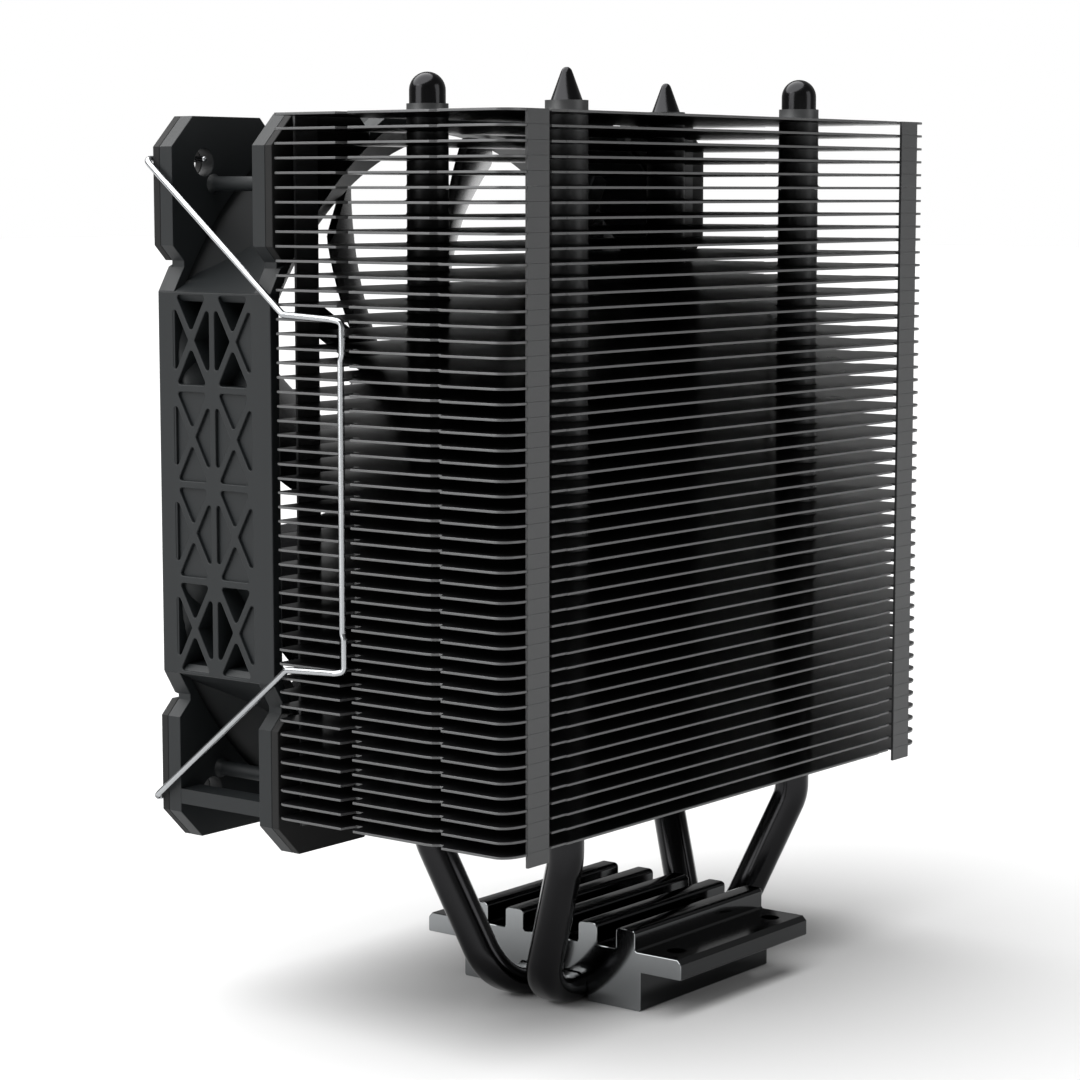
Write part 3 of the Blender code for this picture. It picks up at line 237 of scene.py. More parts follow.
def swept(name, path, radius, sides, materials):
    """A round bar along a path with domed ends: each ring is a circle square to the path."""
    path = np.asarray(path, float)
    along = np.gradient(path, axis=0)
    along /= np.linalg.norm(along, axis=1)[:, None]
    guide = np.array([0.52, 0.60, 0.61])
    across = guide - along * (along @ guide)[:, None]
    across /= np.linalg.norm(across, axis=1)[:, None]
    up = np.cross(along, across)
    radii = np.broadcast_to(radius, len(path))
    dome = np.linspace(0, np.pi / 2, DOME_RINGS + 1)[1:]
    drop = np.sin(dome)[:, None] * radius
    shrink = np.cos(dome) * radius
    path = np.vstack([(path[0] - along[0] * drop)[::-1], path, path[-1] + along[-1] * drop])
    radii = np.concatenate([shrink[::-1], radii, shrink])
    across, up = [
        np.vstack([np.repeat(way[:1], DOME_RINGS, 0), way, np.repeat(way[-1:], DOME_RINGS, 0)])
        for way in (across, up)
    ]
    angle = np.linspace(0, 2 * np.pi, sides, endpoint=False)
    ring = across[:, None] * np.cos(angle)[None, :, None] + up[:, None] * np.sin(angle)[None, :, None]
    points = path[:, None] + ring * radii[:, None, None]
    return quad_mesh(name, points.reshape(-1, 3), quads(len(path), sides, wrap_columns=True), materials)


def arc(centre, radius, first, last, steps):
    """Points round a corner, from one angle to another in degrees."""
    angle = np.radians(np.linspace(first, last, steps + 1))
    return np.stack([centre[0] + radius * np.cos(angle), centre[1] + radius * np.sin(angle)], -1)


def circle(centre, radius, sides):
    return arc(centre, radius, 0, 360, sides)[:-1]


def rounded_path(points, radius, steps=6):
    """A path whose corners are replaced by arcs: each is a circle of the given radius tangent to both runs."""
    points = [np.asarray(point, float) for point in points]
    path = [points[0][None]]
    for before, corner, after in zip(points, points[1:], points[2:]):
        first = (before - corner) / np.linalg.norm(before - corner)
        second = (after - corner) / np.linalg.norm(after - corner)
        half = math.acos(np.clip(first @ second, -1, 1)) / 2
        room = 0.48 * min(np.linalg.norm(before - corner), np.linalg.norm(after - corner))
        size = min(radius, room * math.tan(half))
        middle = corner + (first + second) / np.linalg.norm(first + second) * (size / math.sin(half))
        start = corner + first * (size / math.tan(half)) - middle
        end = corner + second * (size / math.tan(half)) - middle
        sweep = math.acos(np.clip(start @ end / size**2, -1, 1))
        if sweep < 1e-3:
            path.append(corner[None])
            continue
        part = np.linspace(0, 1, steps + 1)[:, None]
        path.append(middle + (start * np.sin((1 - part) * sweep) + end * np.sin(part * sweep)) / math.sin(sweep))
    path.append(points[-1][None])
    return np.vstack(path)


PLACES = {
    "Y": Matrix(((1, 0, 0, 0), (0, 0, 1, 0), (0, 1, 0, 0), (0, 0, 0, 1))),
    "X": Matrix(((0, 0, 1, 0), (1, 0, 0, 0), (0, 1, 0, 0), (0, 0, 0, 1))),
    "Z": Matrix.Identity(4),
}


def plate(name, outlines, start, end, axis, materials, bevel=0.0, smooth=22.0):
    """A flat plate with holes, between two places on an axis, with its edges rounded by the bevel.

    The first outline is the outside and the rest are holes. They give (x, z) for axis Y, (y, z) for X
    and (x, y) for Z.
    """
    curve = bpy.data.curves.new(name, "CURVE")
    curve.dimensions = "2D"
    curve.fill_mode = "BOTH"
    curve.extrude = (end - start) / 2 - bevel
    curve.bevel_depth = bevel
    curve.bevel_resolution = 1
    curve.offset = -bevel
    for outline in outlines:
        outline = np.asarray(outline, float)
        spline = curve.splines.new("POLY")
        spline.points.add(len(outline) - 1)
        flat = np.zeros((len(outline), 4), np.float32)
        flat[:, :2] = outline
        flat[:, 3] = 1.0
        spline.points.foreach_set("co", flat.ravel())
        spline.use_cyclic_u = True
    holder = bpy.data.objects.new(name, curve)
    bpy.context.scene.collection.objects.link(holder)
    graph = bpy.context.evaluated_depsgraph_get()
    mesh = bpy.data.meshes.new_from_object(holder.evaluated_get(graph))
    bpy.data.objects.remove(holder)
    middle = {"Y": (0, (start + end) / 2, 0), "X": ((start + end) / 2, 0, 0), "Z": (0, 0, (start + end) / 2)}
    mesh.transform(Matrix.Translation(middle[axis]) @ PLACES[axis])
    mesh.materials.clear()
    for material in materials:
        mesh.materials.append(material)
    obj = bpy.data.objects.new(name, mesh)
    bpy.context.scene.collection.objects.link(obj)
    tidy_mesh(obj, smooth)
    return obj


def joined(name, objects):
    """One object from several, with the materials of all."""
    bpy.ops.object.select_all(action="DESELECT")
    for obj in objects:
        obj.select_set(True)
    bpy.context.view_layer.objects.active = objects[0]
    if len(objects) > 1:
        bpy.ops.object.join()
    result = bpy.context.view_layer.objects.active
    result.name = name
    result.data.name = name
    result.select_set(False)
    return result


def paint_by_normal(obj, axis, chosen):
    """Gives the second finish to the faces whose normal's size along an axis passes a test: on the fins a painted
    highlight on the cut edges, on the base its lighter cut ends.
    """
    normals = np.empty(len(obj.data.polygons) * 3, np.float32)
    obj.data.polygons.foreach_get("normal", normals)
    lean = np.abs(normals.reshape(-1, 3)[:, axis])
    obj.data.polygons.foreach_set("material_index", chosen(lean).astype(np.int32))


def place_piece(obj, body, slot, *nodes):
    """Puts a finished piece on its body and hides the nodes it stands for. The slot is not used."""
    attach(obj, body)
    if nodes:
        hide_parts(*nodes)


def moulded(name, outlines, start, end, bevel=0.0):
    """A plate of the fan's plastic, square to the fan's axis."""
    return plate(name, outlines, start, end, "Y", [look("frame_plastic")], bevel)


def mirrored(outline, sign_x, sign_z):
    """An outline about the fan's centre, mirrored into one of its corners and lifted to the fan's height."""
    outline = np.asarray(outline, float) * (sign_x, sign_z)
    return outline + (0.0, FAN_CENTRE_Z)


# ---------------------------------------------------------------- materials


def surface_group():
    """A group that gives a fine grain: broad mottling for colour and gloss, and a small height for bump."""
    found = bpy.data.node_groups.get("surface_grain")
    if found:
        return found
    group = bpy.data.node_groups.new("surface_grain", "ShaderNodeTree")
    for name, value in (("Grain size", 900.0), ("Mottle size", 60.0)):
        socket = group.interface.new_socket(name, in_out="INPUT", socket_type="NodeSocketFloat")
        socket.default_value = value
    for name in ("Grain", "Mottle"):
        group.interface.new_socket(name, in_out="OUTPUT", socket_type="NodeSocketFloat")
    entry = group.nodes.new("NodeGroupInput")
    leave = group.nodes.new("NodeGroupOutput")
    place = group.nodes.new("ShaderNodeTexCoord")
    for name in ("Grain", "Mottle"):
        noise = group.nodes.new("ShaderNodeTexNoise")
        noise.inputs["Detail"].default_value = 3.0
        group.links.new(place.outputs["Object"], noise.inputs["Vector"])
        group.links.new(entry.outputs[f"{name} size"], noise.inputs["Scale"])
        group.links.new(noise.outputs["Fac"], leave.inputs[name])
    return group


def spread(tree, value, low, high):
    """A value from 0 to 1 carried to a range."""
    made = tree.nodes.new("ShaderNodeMapRange")
    made.inputs["From Min"].default_value = 0.25
    made.inputs["From Max"].default_value = 0.75
    made.inputs["To Min"].default_value = low
    made.inputs["To Max"].default_value = high
    tree.links.new(value, made.inputs["Value"])
    return made.outputs["Result"]


def finish_material(name, color, rough, metallic, grain, mottle, bump, vary, shine=0.5):
    """A coat, metal or plastic whose tone and gloss vary a little over the surface, with a fine grain."""
    material = bpy.data.materials.new(name)
    material.use_nodes = True
    tree = material.node_tree
    shader = tree.nodes["Principled BSDF"]
    shader.inputs["Metallic"].default_value = metallic
    shader.inputs["Specular IOR Level"].default_value = shine
    surface = tree.nodes.new("ShaderNodeGroup")
    surface.node_tree = surface_group()
    surface.inputs["Grain size"].default_value = grain
    surface.inputs["Mottle size"].default_value = mottle
    gloss = spread(tree, surface.outputs["Mottle"], rough * (1 - vary), rough * (1 + vary))
    tree.links.new(gloss, shader.inputs["Roughness"])
    tone = tree.nodes.new("ShaderNodeMix")
    tone.data_type = "RGBA"
    tone.inputs["A"].default_value = (*[value * (1 - vary) for value in color], 1.0)
    tone.inputs["B"].default_value = (*[min(value * (1 + vary), 1.0) for value in color], 1.0)
    tree.links.new(surface.outputs["Mottle"], tone.inputs["Factor"])
    tree.links.new(tone.outputs["Result"], shader.inputs["Base Color"])
    if bump:
        lift = tree.nodes.new("ShaderNodeBump")
        lift.inputs["Strength"].default_value = 1.0
        lift.inputs["Distance"].default_value = bump
        tree.links.new(surface.outputs["Grain"], lift.inputs["Height"])
        tree.links.new(lift.outputs["Normal"], shader.inputs["Normal"])
    return material


# Colour or the setting that holds it, roughness, metallic, grain size, mottle size, grain height,
# how much tone and gloss vary, and the specular level where it isn't the usual one.
FINISHES = {
    "coated_fin_face": ("fin_face", 0.32, 0.35, 700, 40, 0.4e-6, 0.15),
    # Painted highlight on the fins' cut edges, not a coat of their own.
    "coated_fin_edge": ("fin_edge", 0.38, 0.5, 900, 80, 0.0, 0.10),
    "satin_tab": ("tab", 0.42, 0.3, 800, 60, 0.5e-6, 0.12),
    "black_nickel": ("pipe", 0.18, 1.0, 400, 30, 0.3e-6, 0.15),
    "base_metal": ("base", 0.12, 1.0, 1200, 50, 0.5e-6, 0.10),
    "base_end": ("base_end", 0.11, 1.0, 1200, 50, 0.3e-6, 0.06),
    "frame_plastic": ("frame", 0.48, 0.0, 1600, 60, 4e-6, 0.08, 0.25),
    "blade_plastic": ("blade", 0.25, 0.0, 1200, 40, 1e-6, 0.10),
    "pad_rubber": ("rubber", 0.62, 0.0, 1400, 80, 5e-6, 0.10, 0.15),
    "spring_steel": ("steel", 0.2, 1.0, 900, 120, 0.3e-6, 0.15),
    "plain_steel": ((0.5, 0.5, 0.51), 0.35, 1.0, 700, 60, 1e-6, 0.12),
    "ferrite": ((0.05, 0.05, 0.055), 0.7, 0.1, 1500, 90, 6e-6, 0.15),
    "bronze": ((0.42, 0.27, 0.13), 0.45, 0.9, 1500, 90, 5e-6, 0.18),
    "copper_wire": ((0.55, 0.20, 0.09), 0.30, 0.9, 800, 200, 8e-6, 0.2),
    "insulator": ((0.62, 0.62, 0.58), 0.5, 0.0, 1200, 70, 2e-6, 0.06),
    "board_mask": ((0.015, 0.09, 0.04), 0.3, 0.0, 900, 90, 1e-6, 0.12),
    "label_film": ((0.03, 0.03, 0.032), 0.4, 0.0, 900, 60, 1e-6, 0.08),
}


def look(name):
    """The finish of that name, made the first time it is asked for."""
    found = bpy.data.materials.get(name)
    if found:
        return found
    color, *values = FINISHES[name]
    if isinstance(color, str):
        color = getattr(settings("cooler_finishes"), color)
    return finish_material(name, color, *values)


# ---------------------------------------------------------------- fins


def fin_side(sizes):
    """The +X half of a fin's outline as (x, y), from its front corner to the middle of the rear edge.

    The clip's notch is cut into the side, and a shallow relief into the rear edge beside the tab.
    """
    side_x, front, rear = sizes.half_width, STACK_FRONT, STACK_FRONT + sizes.depth
    outer = side_x + 0.9 * MM
    reach = np.array((4.6, 2.9)) * MM
    corner = arc((0.0, 0.0), 1.0, 0, 90, 8) * reach + (outer - reach[0], rear - reach[1])
    side = np.array([
        (-1.0, 0.0), (-0.3, 0.3), (0.0, 1.0), (0.0, 13.4), (-2.9, 14.1), (-2.9, 15.5),
        (0.3, 16.2), (0.3, 31.2), (0.1, 32.4), (-0.6, 33.4), (-0.6, 34.1), (0.9, 34.9),
    ]) * MM
    relief = np.array([(0.0, 0.0), (0.0, -0.8), (-1.1, -0.8), (-1.1, -0.25), (-4.6, -0.25), (-4.9, 0.0)]) * MM
    return np.vstack([side + (side_x, front), corner, relief + (sizes.rear_tab, rear)])


def leg_places(pipes):
    """Where the four legs of the pipes pass through a fin."""
    return [(sx * pipes.leg_x, sy * pipes.leg_y) for sx in (-1, 1) for sy in (-1, 1)]


def collar_rings(sizes, pipes):
    """The collars of one fin: rings turned about each pipe leg, flared where they leave the fin."""
    sides = 24
    radius = sizes.collar_radius
    height = sizes.pitch - sizes.thickness - 0.04 * MM
    flare = np.array([(0.55, 0.0), (0.12, 0.14), (0.0, 0.45)]) * MM + (radius, 0.0)
    profile = np.vstack([(pipes.radius, 0.0), flare, (radius, height), (pipes.radius, height)])
    angle = np.linspace(0, 2 * np.pi, sides, endpoint=False)
    x = profile[:, 0][:, None] * np.cos(angle)
    y = profile[:, 0][:, None] * np.sin(angle)
    z = np.repeat(profile[:, 1][:, None], sides, axis=1)
    ring = np.stack([x, y, z], -1).reshape(-1, 3)
    places = [(x, y, 0.0) for x, y in leg_places(pipes)]
    points = (ring[None] + np.array(places)[:, None]).reshape(-1, 3)
    faces = quads(len(profile), sides, wrap_rows=True, wrap_columns=True)
    faces = (faces[None] + (np.arange(4) * len(ring))[:, None, None]).reshape(-1, 4)
    return quad_mesh("collars", points, faces, [look("satin_tab")])


def tab_plates(sizes):
    """The folded tabs of one fin: plates that hang from its front and rear edges down to the next fin's tabs."""
    low = -sizes.pitch + 0.005 * MM
    fold = np.vstack([
        arc((-0.06 * MM, -0.06 * MM), 0.06 * MM, 90, 0, 2),
        [(0.0, low), (-0.45 * MM, low), (-0.45 * MM, 0.0)],
    ])
    rear = fold + (STACK_FRONT + sizes.depth + 0.1 * MM, 0.0)
    front = fold * (-1, 1) + (STACK_FRONT, 0.0)
    tabs = []
    for sign in (-1, 1):
        for outline, inner in ((rear, sizes.rear_tab), (front, sizes.front_tab)):
            near = min(sign * inner, sign * (inner + sizes.tab_width))
            tabs.append(plate("tab", [outline], near, near + sizes.tab_width, "X", [look("satin_tab")]))
    return tabs


def one_fin(sizes, pipes):
    """One whole fin at the origin's height: its plate, with a painted highlight on its cut edges, its collars and
    its tabs.
    """
    side = fin_side(sizes)
    outline = np.vstack([side, side[::-1] * (-1, 1)])
    holes = [circle(place, pipes.radius + 0.05 * MM, 24) for place in leg_places(pipes)]
    coats = [look("coated_fin_face"), look("coated_fin_edge")]
    sheet = plate("fin", [outline, *holes], -sizes.thickness, 0.0, "Z", coats, 0.06 * MM)
    # The faces that are not flat to the fin are its cut edges, and they get the painted highlight colour.
    paint_by_normal(sheet, 2, lambda lean: lean < 0.9)
    return joined("fin", [sheet, collar_rings(sizes, pipes), *tab_plates(sizes)])


class COOLER_OT_fins(bpy.types.Operator):
    """Makes the fins of every bank: plates with rolled edges, collars round the pipes and locking tabs"""

    bl_idname = "cooler.fins"
    bl_label = "Fins"

    def execute(self, context):
        sizes = settings("cooler_fins")
        pipes = settings("cooler_pipes")
        pattern = one_fin(sizes, pipes)
        for number, bank in enumerate(BANKS):
            copies = []
            for step in range(sizes.per_bank):
                copy = pattern.copy()
                copy.data = pattern.data.copy()
                drop = (number * sizes.per_bank + step) * sizes.pitch
                copy.data.transform(Matrix.Translation((0, 0, STACK_TOP - drop)))
                context.scene.collection.objects.link(copy)
                copies.append(copy)
            obj = joined(f"fins_{number + 1:02d}", copies)
            place_piece(obj, "cooler", "fins", bank)
        bpy.data.objects.remove(pattern)
        return {"FINISHED"}


# ---------------------------------------------------------------- heat pipes


def pipe_line(sizes, side):
    """The middle line of a pipe from one top to the other: a U whose four bends are arcs."""
    top = STACK_TOP + sizes.rise - 6.0 * MM
    y = side * sizes.base_offset
    z = sizes.flat_half
    half = [
        (0.0, y, z),
        (27.9 * MM, y, z),
        (sizes.leg_x, side * sizes.leg_y, 27.8 * MM),
        (sizes.leg_x, side * sizes.leg_y, top),
    ]
    bent = rounded_path(half, 9.0 * MM, 14)
    extra = np.linspace(bent[0], bent[1], 8)[1:-1]
    bent = np.vstack([bent[:1], extra, bent[1:]])
    return np.vstack([bent[:0:-1] * (-1, 1, 1), bent])


def pipe_sections(path, sizes, sides):
    """Rings along the pipe: two half circles joined by flats, as wide as the tube's girth needs.

    The half height runs smoothly from flat in the base to round 8 mm above it.
    """
    along = np.gradient(path, axis=0)
    along /= np.linalg.norm(along, axis=1)[:, None]
    guide = np.array([0.0, 1.0, 0.0])
    across = guide - along * (along @ guide)[:, None]
    across /= np.linalg.norm(across, axis=1)[:, None]
    up = np.cross(along, across)
    part = np.clip((path[:, 2] - sizes.flat_half) / (8.0 * MM), 0, 1)
    part = part * part * (3 - 2 * part)
    half = sizes.flat_half + (sizes.radius - sizes.flat_half) * part
    shift = np.pi / 2 * (sizes.radius - half)
    angle = 2 * np.pi * (np.arange(sides) + 0.5) / sides
    wide = half[:, None] * np.cos(angle) + shift[:, None] * np.sign(np.cos(angle))
    tall = half[:, None] * np.sin(angle)
    return path[:, None] + across[:, None] * wide[:, :, None] + up[:, None] * tall[:, :, None]


def pipe_end(place, top, radius, domed, ring):
    """The rings that close a pipe's top: a round dome, or a shoulder and a cone pinched to a small tip."""
    if domed:
        angle = np.radians(np.linspace(0, 90, 12))
        heights = top - radius + radius * np.sin(angle)
        radii = np.maximum(radius * np.cos(angle), 0.0)
    else:
        shape = np.array([
            (-5.95, 3.0), (-5.7, 2.97), (-5.45, 2.86), (-5.3, 2.66), (-5.1, 2.52), (-0.9, 0.98),
            (-0.45, 0.80), (-0.15, 0.55), (0.0, 0.25), (0.0, 0.0),
        ]) * MM
        heights = top + shape[:, 0]
        radii = shape[:, 1]
    rings = (ring - place) / radius
    points = place + rings[None] * radii[:, None, None]
    points[:, :, 2] = heights[:, None]
    return points


class COOLER_OT_pipes(bpy.types.Operator):
    """Makes the two bent heat pipes, pressed flat in the base and closed by a dome and a pinched cone"""

    bl_idname = "cooler.pipes"
    bl_label = "Heat pipes"

    def execute(self, context):
        sizes = settings("cooler_pipes")
        sides = 48
        top = STACK_TOP + sizes.rise
        for name, side, domed in (("front", -1, True), ("rear", 1, False)):
            path = pipe_line(sizes, side)
            rings = pipe_sections(path, sizes, sides)
            first = pipe_end(path[0], top, sizes.radius, not domed, rings[0])[::-1]
            last = pipe_end(path[-1], top, sizes.radius, domed, rings[-1])
            rings = np.concatenate([first, rings, last])
            faces = quads(len(rings), sides, wrap_columns=True)
            obj = quad_mesh(f"pipe_{name}", rings.reshape(-1, 3), faces, [look("black_nickel")], 35.0)
            place_piece(obj, "cooler", "heat_pipe", f"heat_pipe_{name}")
        return {"FINISHED"}


# ---------------------------------------------------------------- base


BASE_HALF_LENGTH = 19.0 * MM
BASE_SHARPNESS = 22
SCREW_HOLE_RADIUS = 1.6 * MM
SCREW_HOLE_PLACE = (14.1 * MM, 22.5 * MM)
RIB_HALF_WIDTH = 1.95 * MM
RIB_ROUND = 0.8 * MM
RIB_FILLET = 0.3 * MM


def base_outline():
    """The base's section as (y, z): a block, wider flanges with softened edges, and five rounded ribs."""
    half = 18.75 * MM
    edge = 26.9 * MM
    low = 6.6 * MM
    high = 10.0 * MM
    top = 13.6 * MM
    right = [
        (half - 0.25 * MM, 0.0),
        (half, 0.25 * MM),
        (half, low),
        (edge - 0.2 * MM, low),
        (edge, low + 0.2 * MM),
        (edge, high - 0.8 * MM),
        (edge - 0.8 * MM, high),
    ]
    ribs = []
    for number in (2, 1, 0, -1, -2):
        centre = number * 7.8 * MM
        reach = RIB_HALF_WIDTH - RIB_ROUND
        near = [(RIB_HALF_WIDTH + RIB_FILLET, high), (RIB_HALF_WIDTH, high + RIB_FILLET)]
        ribs += [(centre + y, z) for y, z in near]
        ribs += list(arc((centre + reach, top - RIB_ROUND), RIB_ROUND, 0, 90, 5))
        ribs += list(arc((centre - reach, top - RIB_ROUND), RIB_ROUND, 90, 180, 5))
        ribs += [(centre - y, z) for y, z in reversed(near)]
    left = [(-y, z) for y, z in reversed(right)]
    slots = []
    sizes = settings("cooler_pipes")
    half_slot = sizes.flat_half + math.pi / 2 * (sizes.radius - sizes.flat_half) + 0.05 * MM
    deep = 2 * sizes.flat_half + 0.05 * MM
    cut = 1.6 * MM
    section = np.array([(-half_slot, 0.0), (-half_slot, deep - cut), (cut - half_slot, deep)])
    section = np.vstack([section, section[::-1] * (-1, 1)])
    for sign in (-1, 1):
        slots += list(section + (sign * sizes.base_offset, 0.0))
    return np.array(right + ribs + left + slots)


class COOLER_OT_base(bpy.types.Operator):
    """Makes the base: an extrusion with ribs, two flanges with screw holes, and slots for the pipes"""

    bl_idname = "cooler.base"
    bl_label = "Base"

    def execute(self, context):
        metals = [look("base_metal"), look("base_end")]
        obj = plate("base", [base_outline()], -BASE_HALF_LENGTH, BASE_HALF_LENGTH, "X", metals, 0.15 * MM)
        paint_by_normal(obj, 0, lambda lean: lean > 0.9)
        obj = self.drill(context, obj)
        place_piece(obj, "cooler", "base", "base_block")
        return {"FINISHED"}

    def drill(self, context, obj):
        """Cuts the four screw holes, each a round bar taken out of the flange."""
        for sx, sy in CORNERS.values():
            shape = bmesh.new()
            bar = {"radius1": SCREW_HOLE_RADIUS, "radius2": SCREW_HOLE_RADIUS, "depth": 14 * MM}
            bmesh.ops.create_cone(shape, cap_ends=True, segments=32, **bar)
            place = (sx * SCREW_HOLE_PLACE[0], sy * SCREW_HOLE_PLACE[1], 8 * MM)
            bmesh.ops.translate(shape, verts=shape.verts, vec=place)
            mesh = bpy.data.meshes.new("drill")
            shape.to_mesh(mesh)
            shape.free()
            drill = bpy.data.objects.new("drill", mesh)
            context.scene.collection.objects.link(drill)
            modifier = obj.modifiers.new("hole", "BOOLEAN")
            modifier.operation = "DIFFERENCE"
            modifier.object = drill
            graph = context.evaluated_depsgraph_get()
            made = bpy.data.meshes.new_from_object(obj.evaluated_get(graph))
            obj.modifiers.clear()
            obj.data = made
            bpy.data.objects.remove(drill)
        obj.data.shade_smooth()
        obj.data.set_sharp_from_angle(angle=math.radians(BASE_SHARPNESS))
        return obj


# ---------------------------------------------------------------- fan frame


def quarter_turns(points):
    """The same stretch of outline repeated round the four sides of the square."""
    turns = [np.asarray(points, float)]
    for _ in range(3):
        last = turns[-1]
        turns.append(np.stack([-last[:, 1], last[:, 0]], -1))
    return np.vstack(turns)


PANEL_SIDE = np.array([(57.5, -35.5), (59.9, -31.6), (59.9, 31.6), (57.5, 35.5)]) * MM
EAR_SIDE = np.array([(57.5, 36.5), (60.0, 39.0), (60.0, 55.0), (55.0, 60.0), (39.0, 60.0), (36.5, 57.5)]) * MM
PANEL_FACE = 60.0 * MM
PANEL_HALF_LENGTH = 31.5 * MM
EDGE_ROUND = 0.12 * MM
PAD_ROOM = 0.02 * MM


def flange_outline():
    """A flange about the fan's centre: eared corners, with a V notch between each ear and the side panel."""
    return quarter_turns(np.vstack([PANEL_SIDE, EAR_SIDE]))


def mouth_radius(angle, depth, grow=0.0):
    """The duct's radius at an angle round the axis and a depth from the nearer face.

    It is the plain radius, plus a cone of 45 degrees that opens towards the face, but no wider than the
    square whose sides touch the plain duct.
    """
    fan = settings("cooler_fan")
    plain = fan.duct_radius + grow
    cone = plain + np.maximum(fan.flare_radius - fan.duct_radius - depth, 0.0)
    square = plain / np.maximum(np.abs(np.cos(angle)), np.abs(np.sin(angle)))
    return np.minimum(cone, square)


def corner_ear():
    """The +X +Z ear that a pad covers: its outer edges, and an arc round the duct's mouth."""
    radius = settings("cooler_fan").pad_radius
    first = math.degrees(math.asin(36.5 * MM / radius))
    curve = arc((0.0, 0.0), radius, 90 - first, first, 16)
    return np.vstack([EAR_SIDE, curve])


class COOLER_OT_pads(bpy.types.Operator):
    """Makes the rubber pads on the fan's eight corner ears"""

    bl_idname = "cooler.pads"
    bl_label = "Corner pads"

    def execute(self, context):
        fan = settings("cooler_fan")
        hole = circle((fan.hole_spacing / 2, fan.hole_spacing / 2), fan.hole_radius, 32)
        for place in ("front", "rear"):
            for corner, (sx, sz) in CORNERS.items():
                node_name = f"{place}_pad_{corner}"
                low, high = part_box(node_name)
                outlines = [mirrored(corner_ear(), sx, sz), mirrored(hole, sx, sz)]
                obj = plate(f"pad_{place}_{corner}", outlines, low.y, high.y, "Y", [look("pad_rubber")], 0.15 * MM)
                place_piece(obj, "cooler", "pads", node_name)
        return {"FINISHED"}


def lattice_cells():
    """The pockets of a side panel as (y, z) triangles about the fan's centre height, with softened corners.

    Crossed bars leave four triangles in each cell of two columns and four rows. Each comes with its depth
    where it has a flat floor, and without one where it goes down to the duct.
    """
    wide = 8.1 * MM / 2
    row = 15.8 * MM
    bar = 1.2 * MM
    tall = (row - bar) / 2
    slant = math.hypot(wide, tall)
    shift_y = bar / 2 * slant / tall
    shift_z = bar / 2 * slant / wide
    shapes = {
        "rear": [(shift_y, 0.0), (wide, tall - shift_z), (wide, -tall + shift_z)],
        "front": [(-shift_y, 0.0), (-wide, -tall + shift_z), (-wide, tall - shift_z)],
        "upper": [(0.0, shift_z), (-wide + shift_y, tall), (wide - shift_y, tall)],
        "lower": [(0.0, -shift_z), (wide - shift_y, -tall), (-wide + shift_y, -tall)],
    }
    middle = (FAN_FRONT + FAN_REAR) / 2 - 0.5 * MM
    cells = []
    for column in (-1, 1):
        for number in range(4):
            centre = np.array((middle + column * (wide + bar / 2), (number - 1.5) * row))
            for place, shape in shapes.items():
                flat = number in (1, 2) or (column == 1 and place == "rear")
                cells.append((softened(np.array(shape) + centre, 0.45 * MM), 0.6 * MM if flat else None))
    return cells


def softened(corners, radius):
    """A closed outline whose corners are rounded."""
    ring = [np.append(corner, 0.0) for corner in corners]
    start = (ring[-1] + ring[0]) / 2
    path = rounded_path([start, *ring, start], radius, 3)
    return path[:-1, :2]


def turn_about_axis(obj, quarter):
    """Turns a piece about the fan's axis by quarter turns, in its mesh."""
    middle = Vector((0, 0, FAN_CENTRE_Z))
    spin = Matrix.Rotation(-quarter * math.pi / 2, 4, "Y")
    obj.data.transform(Matrix.Translation(middle) @ spin @ Matrix.Translation(-middle))


def pocket_wall(shape, outer):
    """The wall round one deep pocket: a closed ring along its outline, from the panel's face to the duct."""
    fan = settings("cooler_fan")
    middle = shape.mean(0)
    away = shape - middle
    wider = shape + away / np.linalg.norm(away, axis=1)[:, None] * 0.55 * MM
    rows = []
    for ring, sunk in ((shape, False), (wider, False), (wider, True), (shape, True)):
        depth = np.minimum(ring[:, 0] - FAN_FRONT, FAN_REAR - ring[:, 0])
        cone = fan.duct_radius + fan.duct_wall + np.maximum(fan.flare_radius - fan.duct_radius - depth, 0.0)
        foot = np.minimum(np.sqrt(np.maximum(cone**2 - ring[:, 1] ** 2, 0.0)), fan.duct_radius + fan.duct_wall)
        x = foot - 0.3 * MM if sunk else np.full(len(ring), outer - 0.3 * MM)
        rows.append(np.column_stack([x, ring[:, 0], ring[:, 1] + FAN_CENTRE_Z]))
    faces = quads(4, len(shape), wrap_rows=True, wrap_columns=True)
    return quad_mesh("pocket", np.vstack(rows), faces, [look("frame_plastic")], 30.0)


def side_panel(quarter, pierced):
    """A side panel: a lattice plate over the duct with walls and floors in its pockets, or a plain plate."""
    fan = settings("cooler_fan")
    material = look("frame_plastic")
    outer = 60.0 * MM
    bottom = 31.5 * MM
    start = FAN_FRONT
    end = FAN_REAR
    outline = np.array([(start, -bottom), (end, -bottom), (end, bottom), (start, bottom)]) + (0, FAN_CENTRE_Z)
    cells = lattice_cells() if pierced else []
    holes = [shape + (0, FAN_CENTRE_Z) for shape, _ in cells]
    inner = fan.duct_radius + 0.1 * MM
    pieces = [plate("panel", [outline, *holes], inner, outer, "X", [material], 0.15 * MM)]
    for shape, depth in cells:
        if depth is None:
            pieces.append(pocket_wall(shape, outer))
            continue
        middle = shape.mean(0)
        cover = middle + (shape - middle) * 1.12 + (0, FAN_CENTRE_Z)
        pieces.append(plate("floor", [cover], inner, outer - depth, "X", [material]))
    for piece in pieces:
        turn_about_axis(piece, quarter)
    return pieces


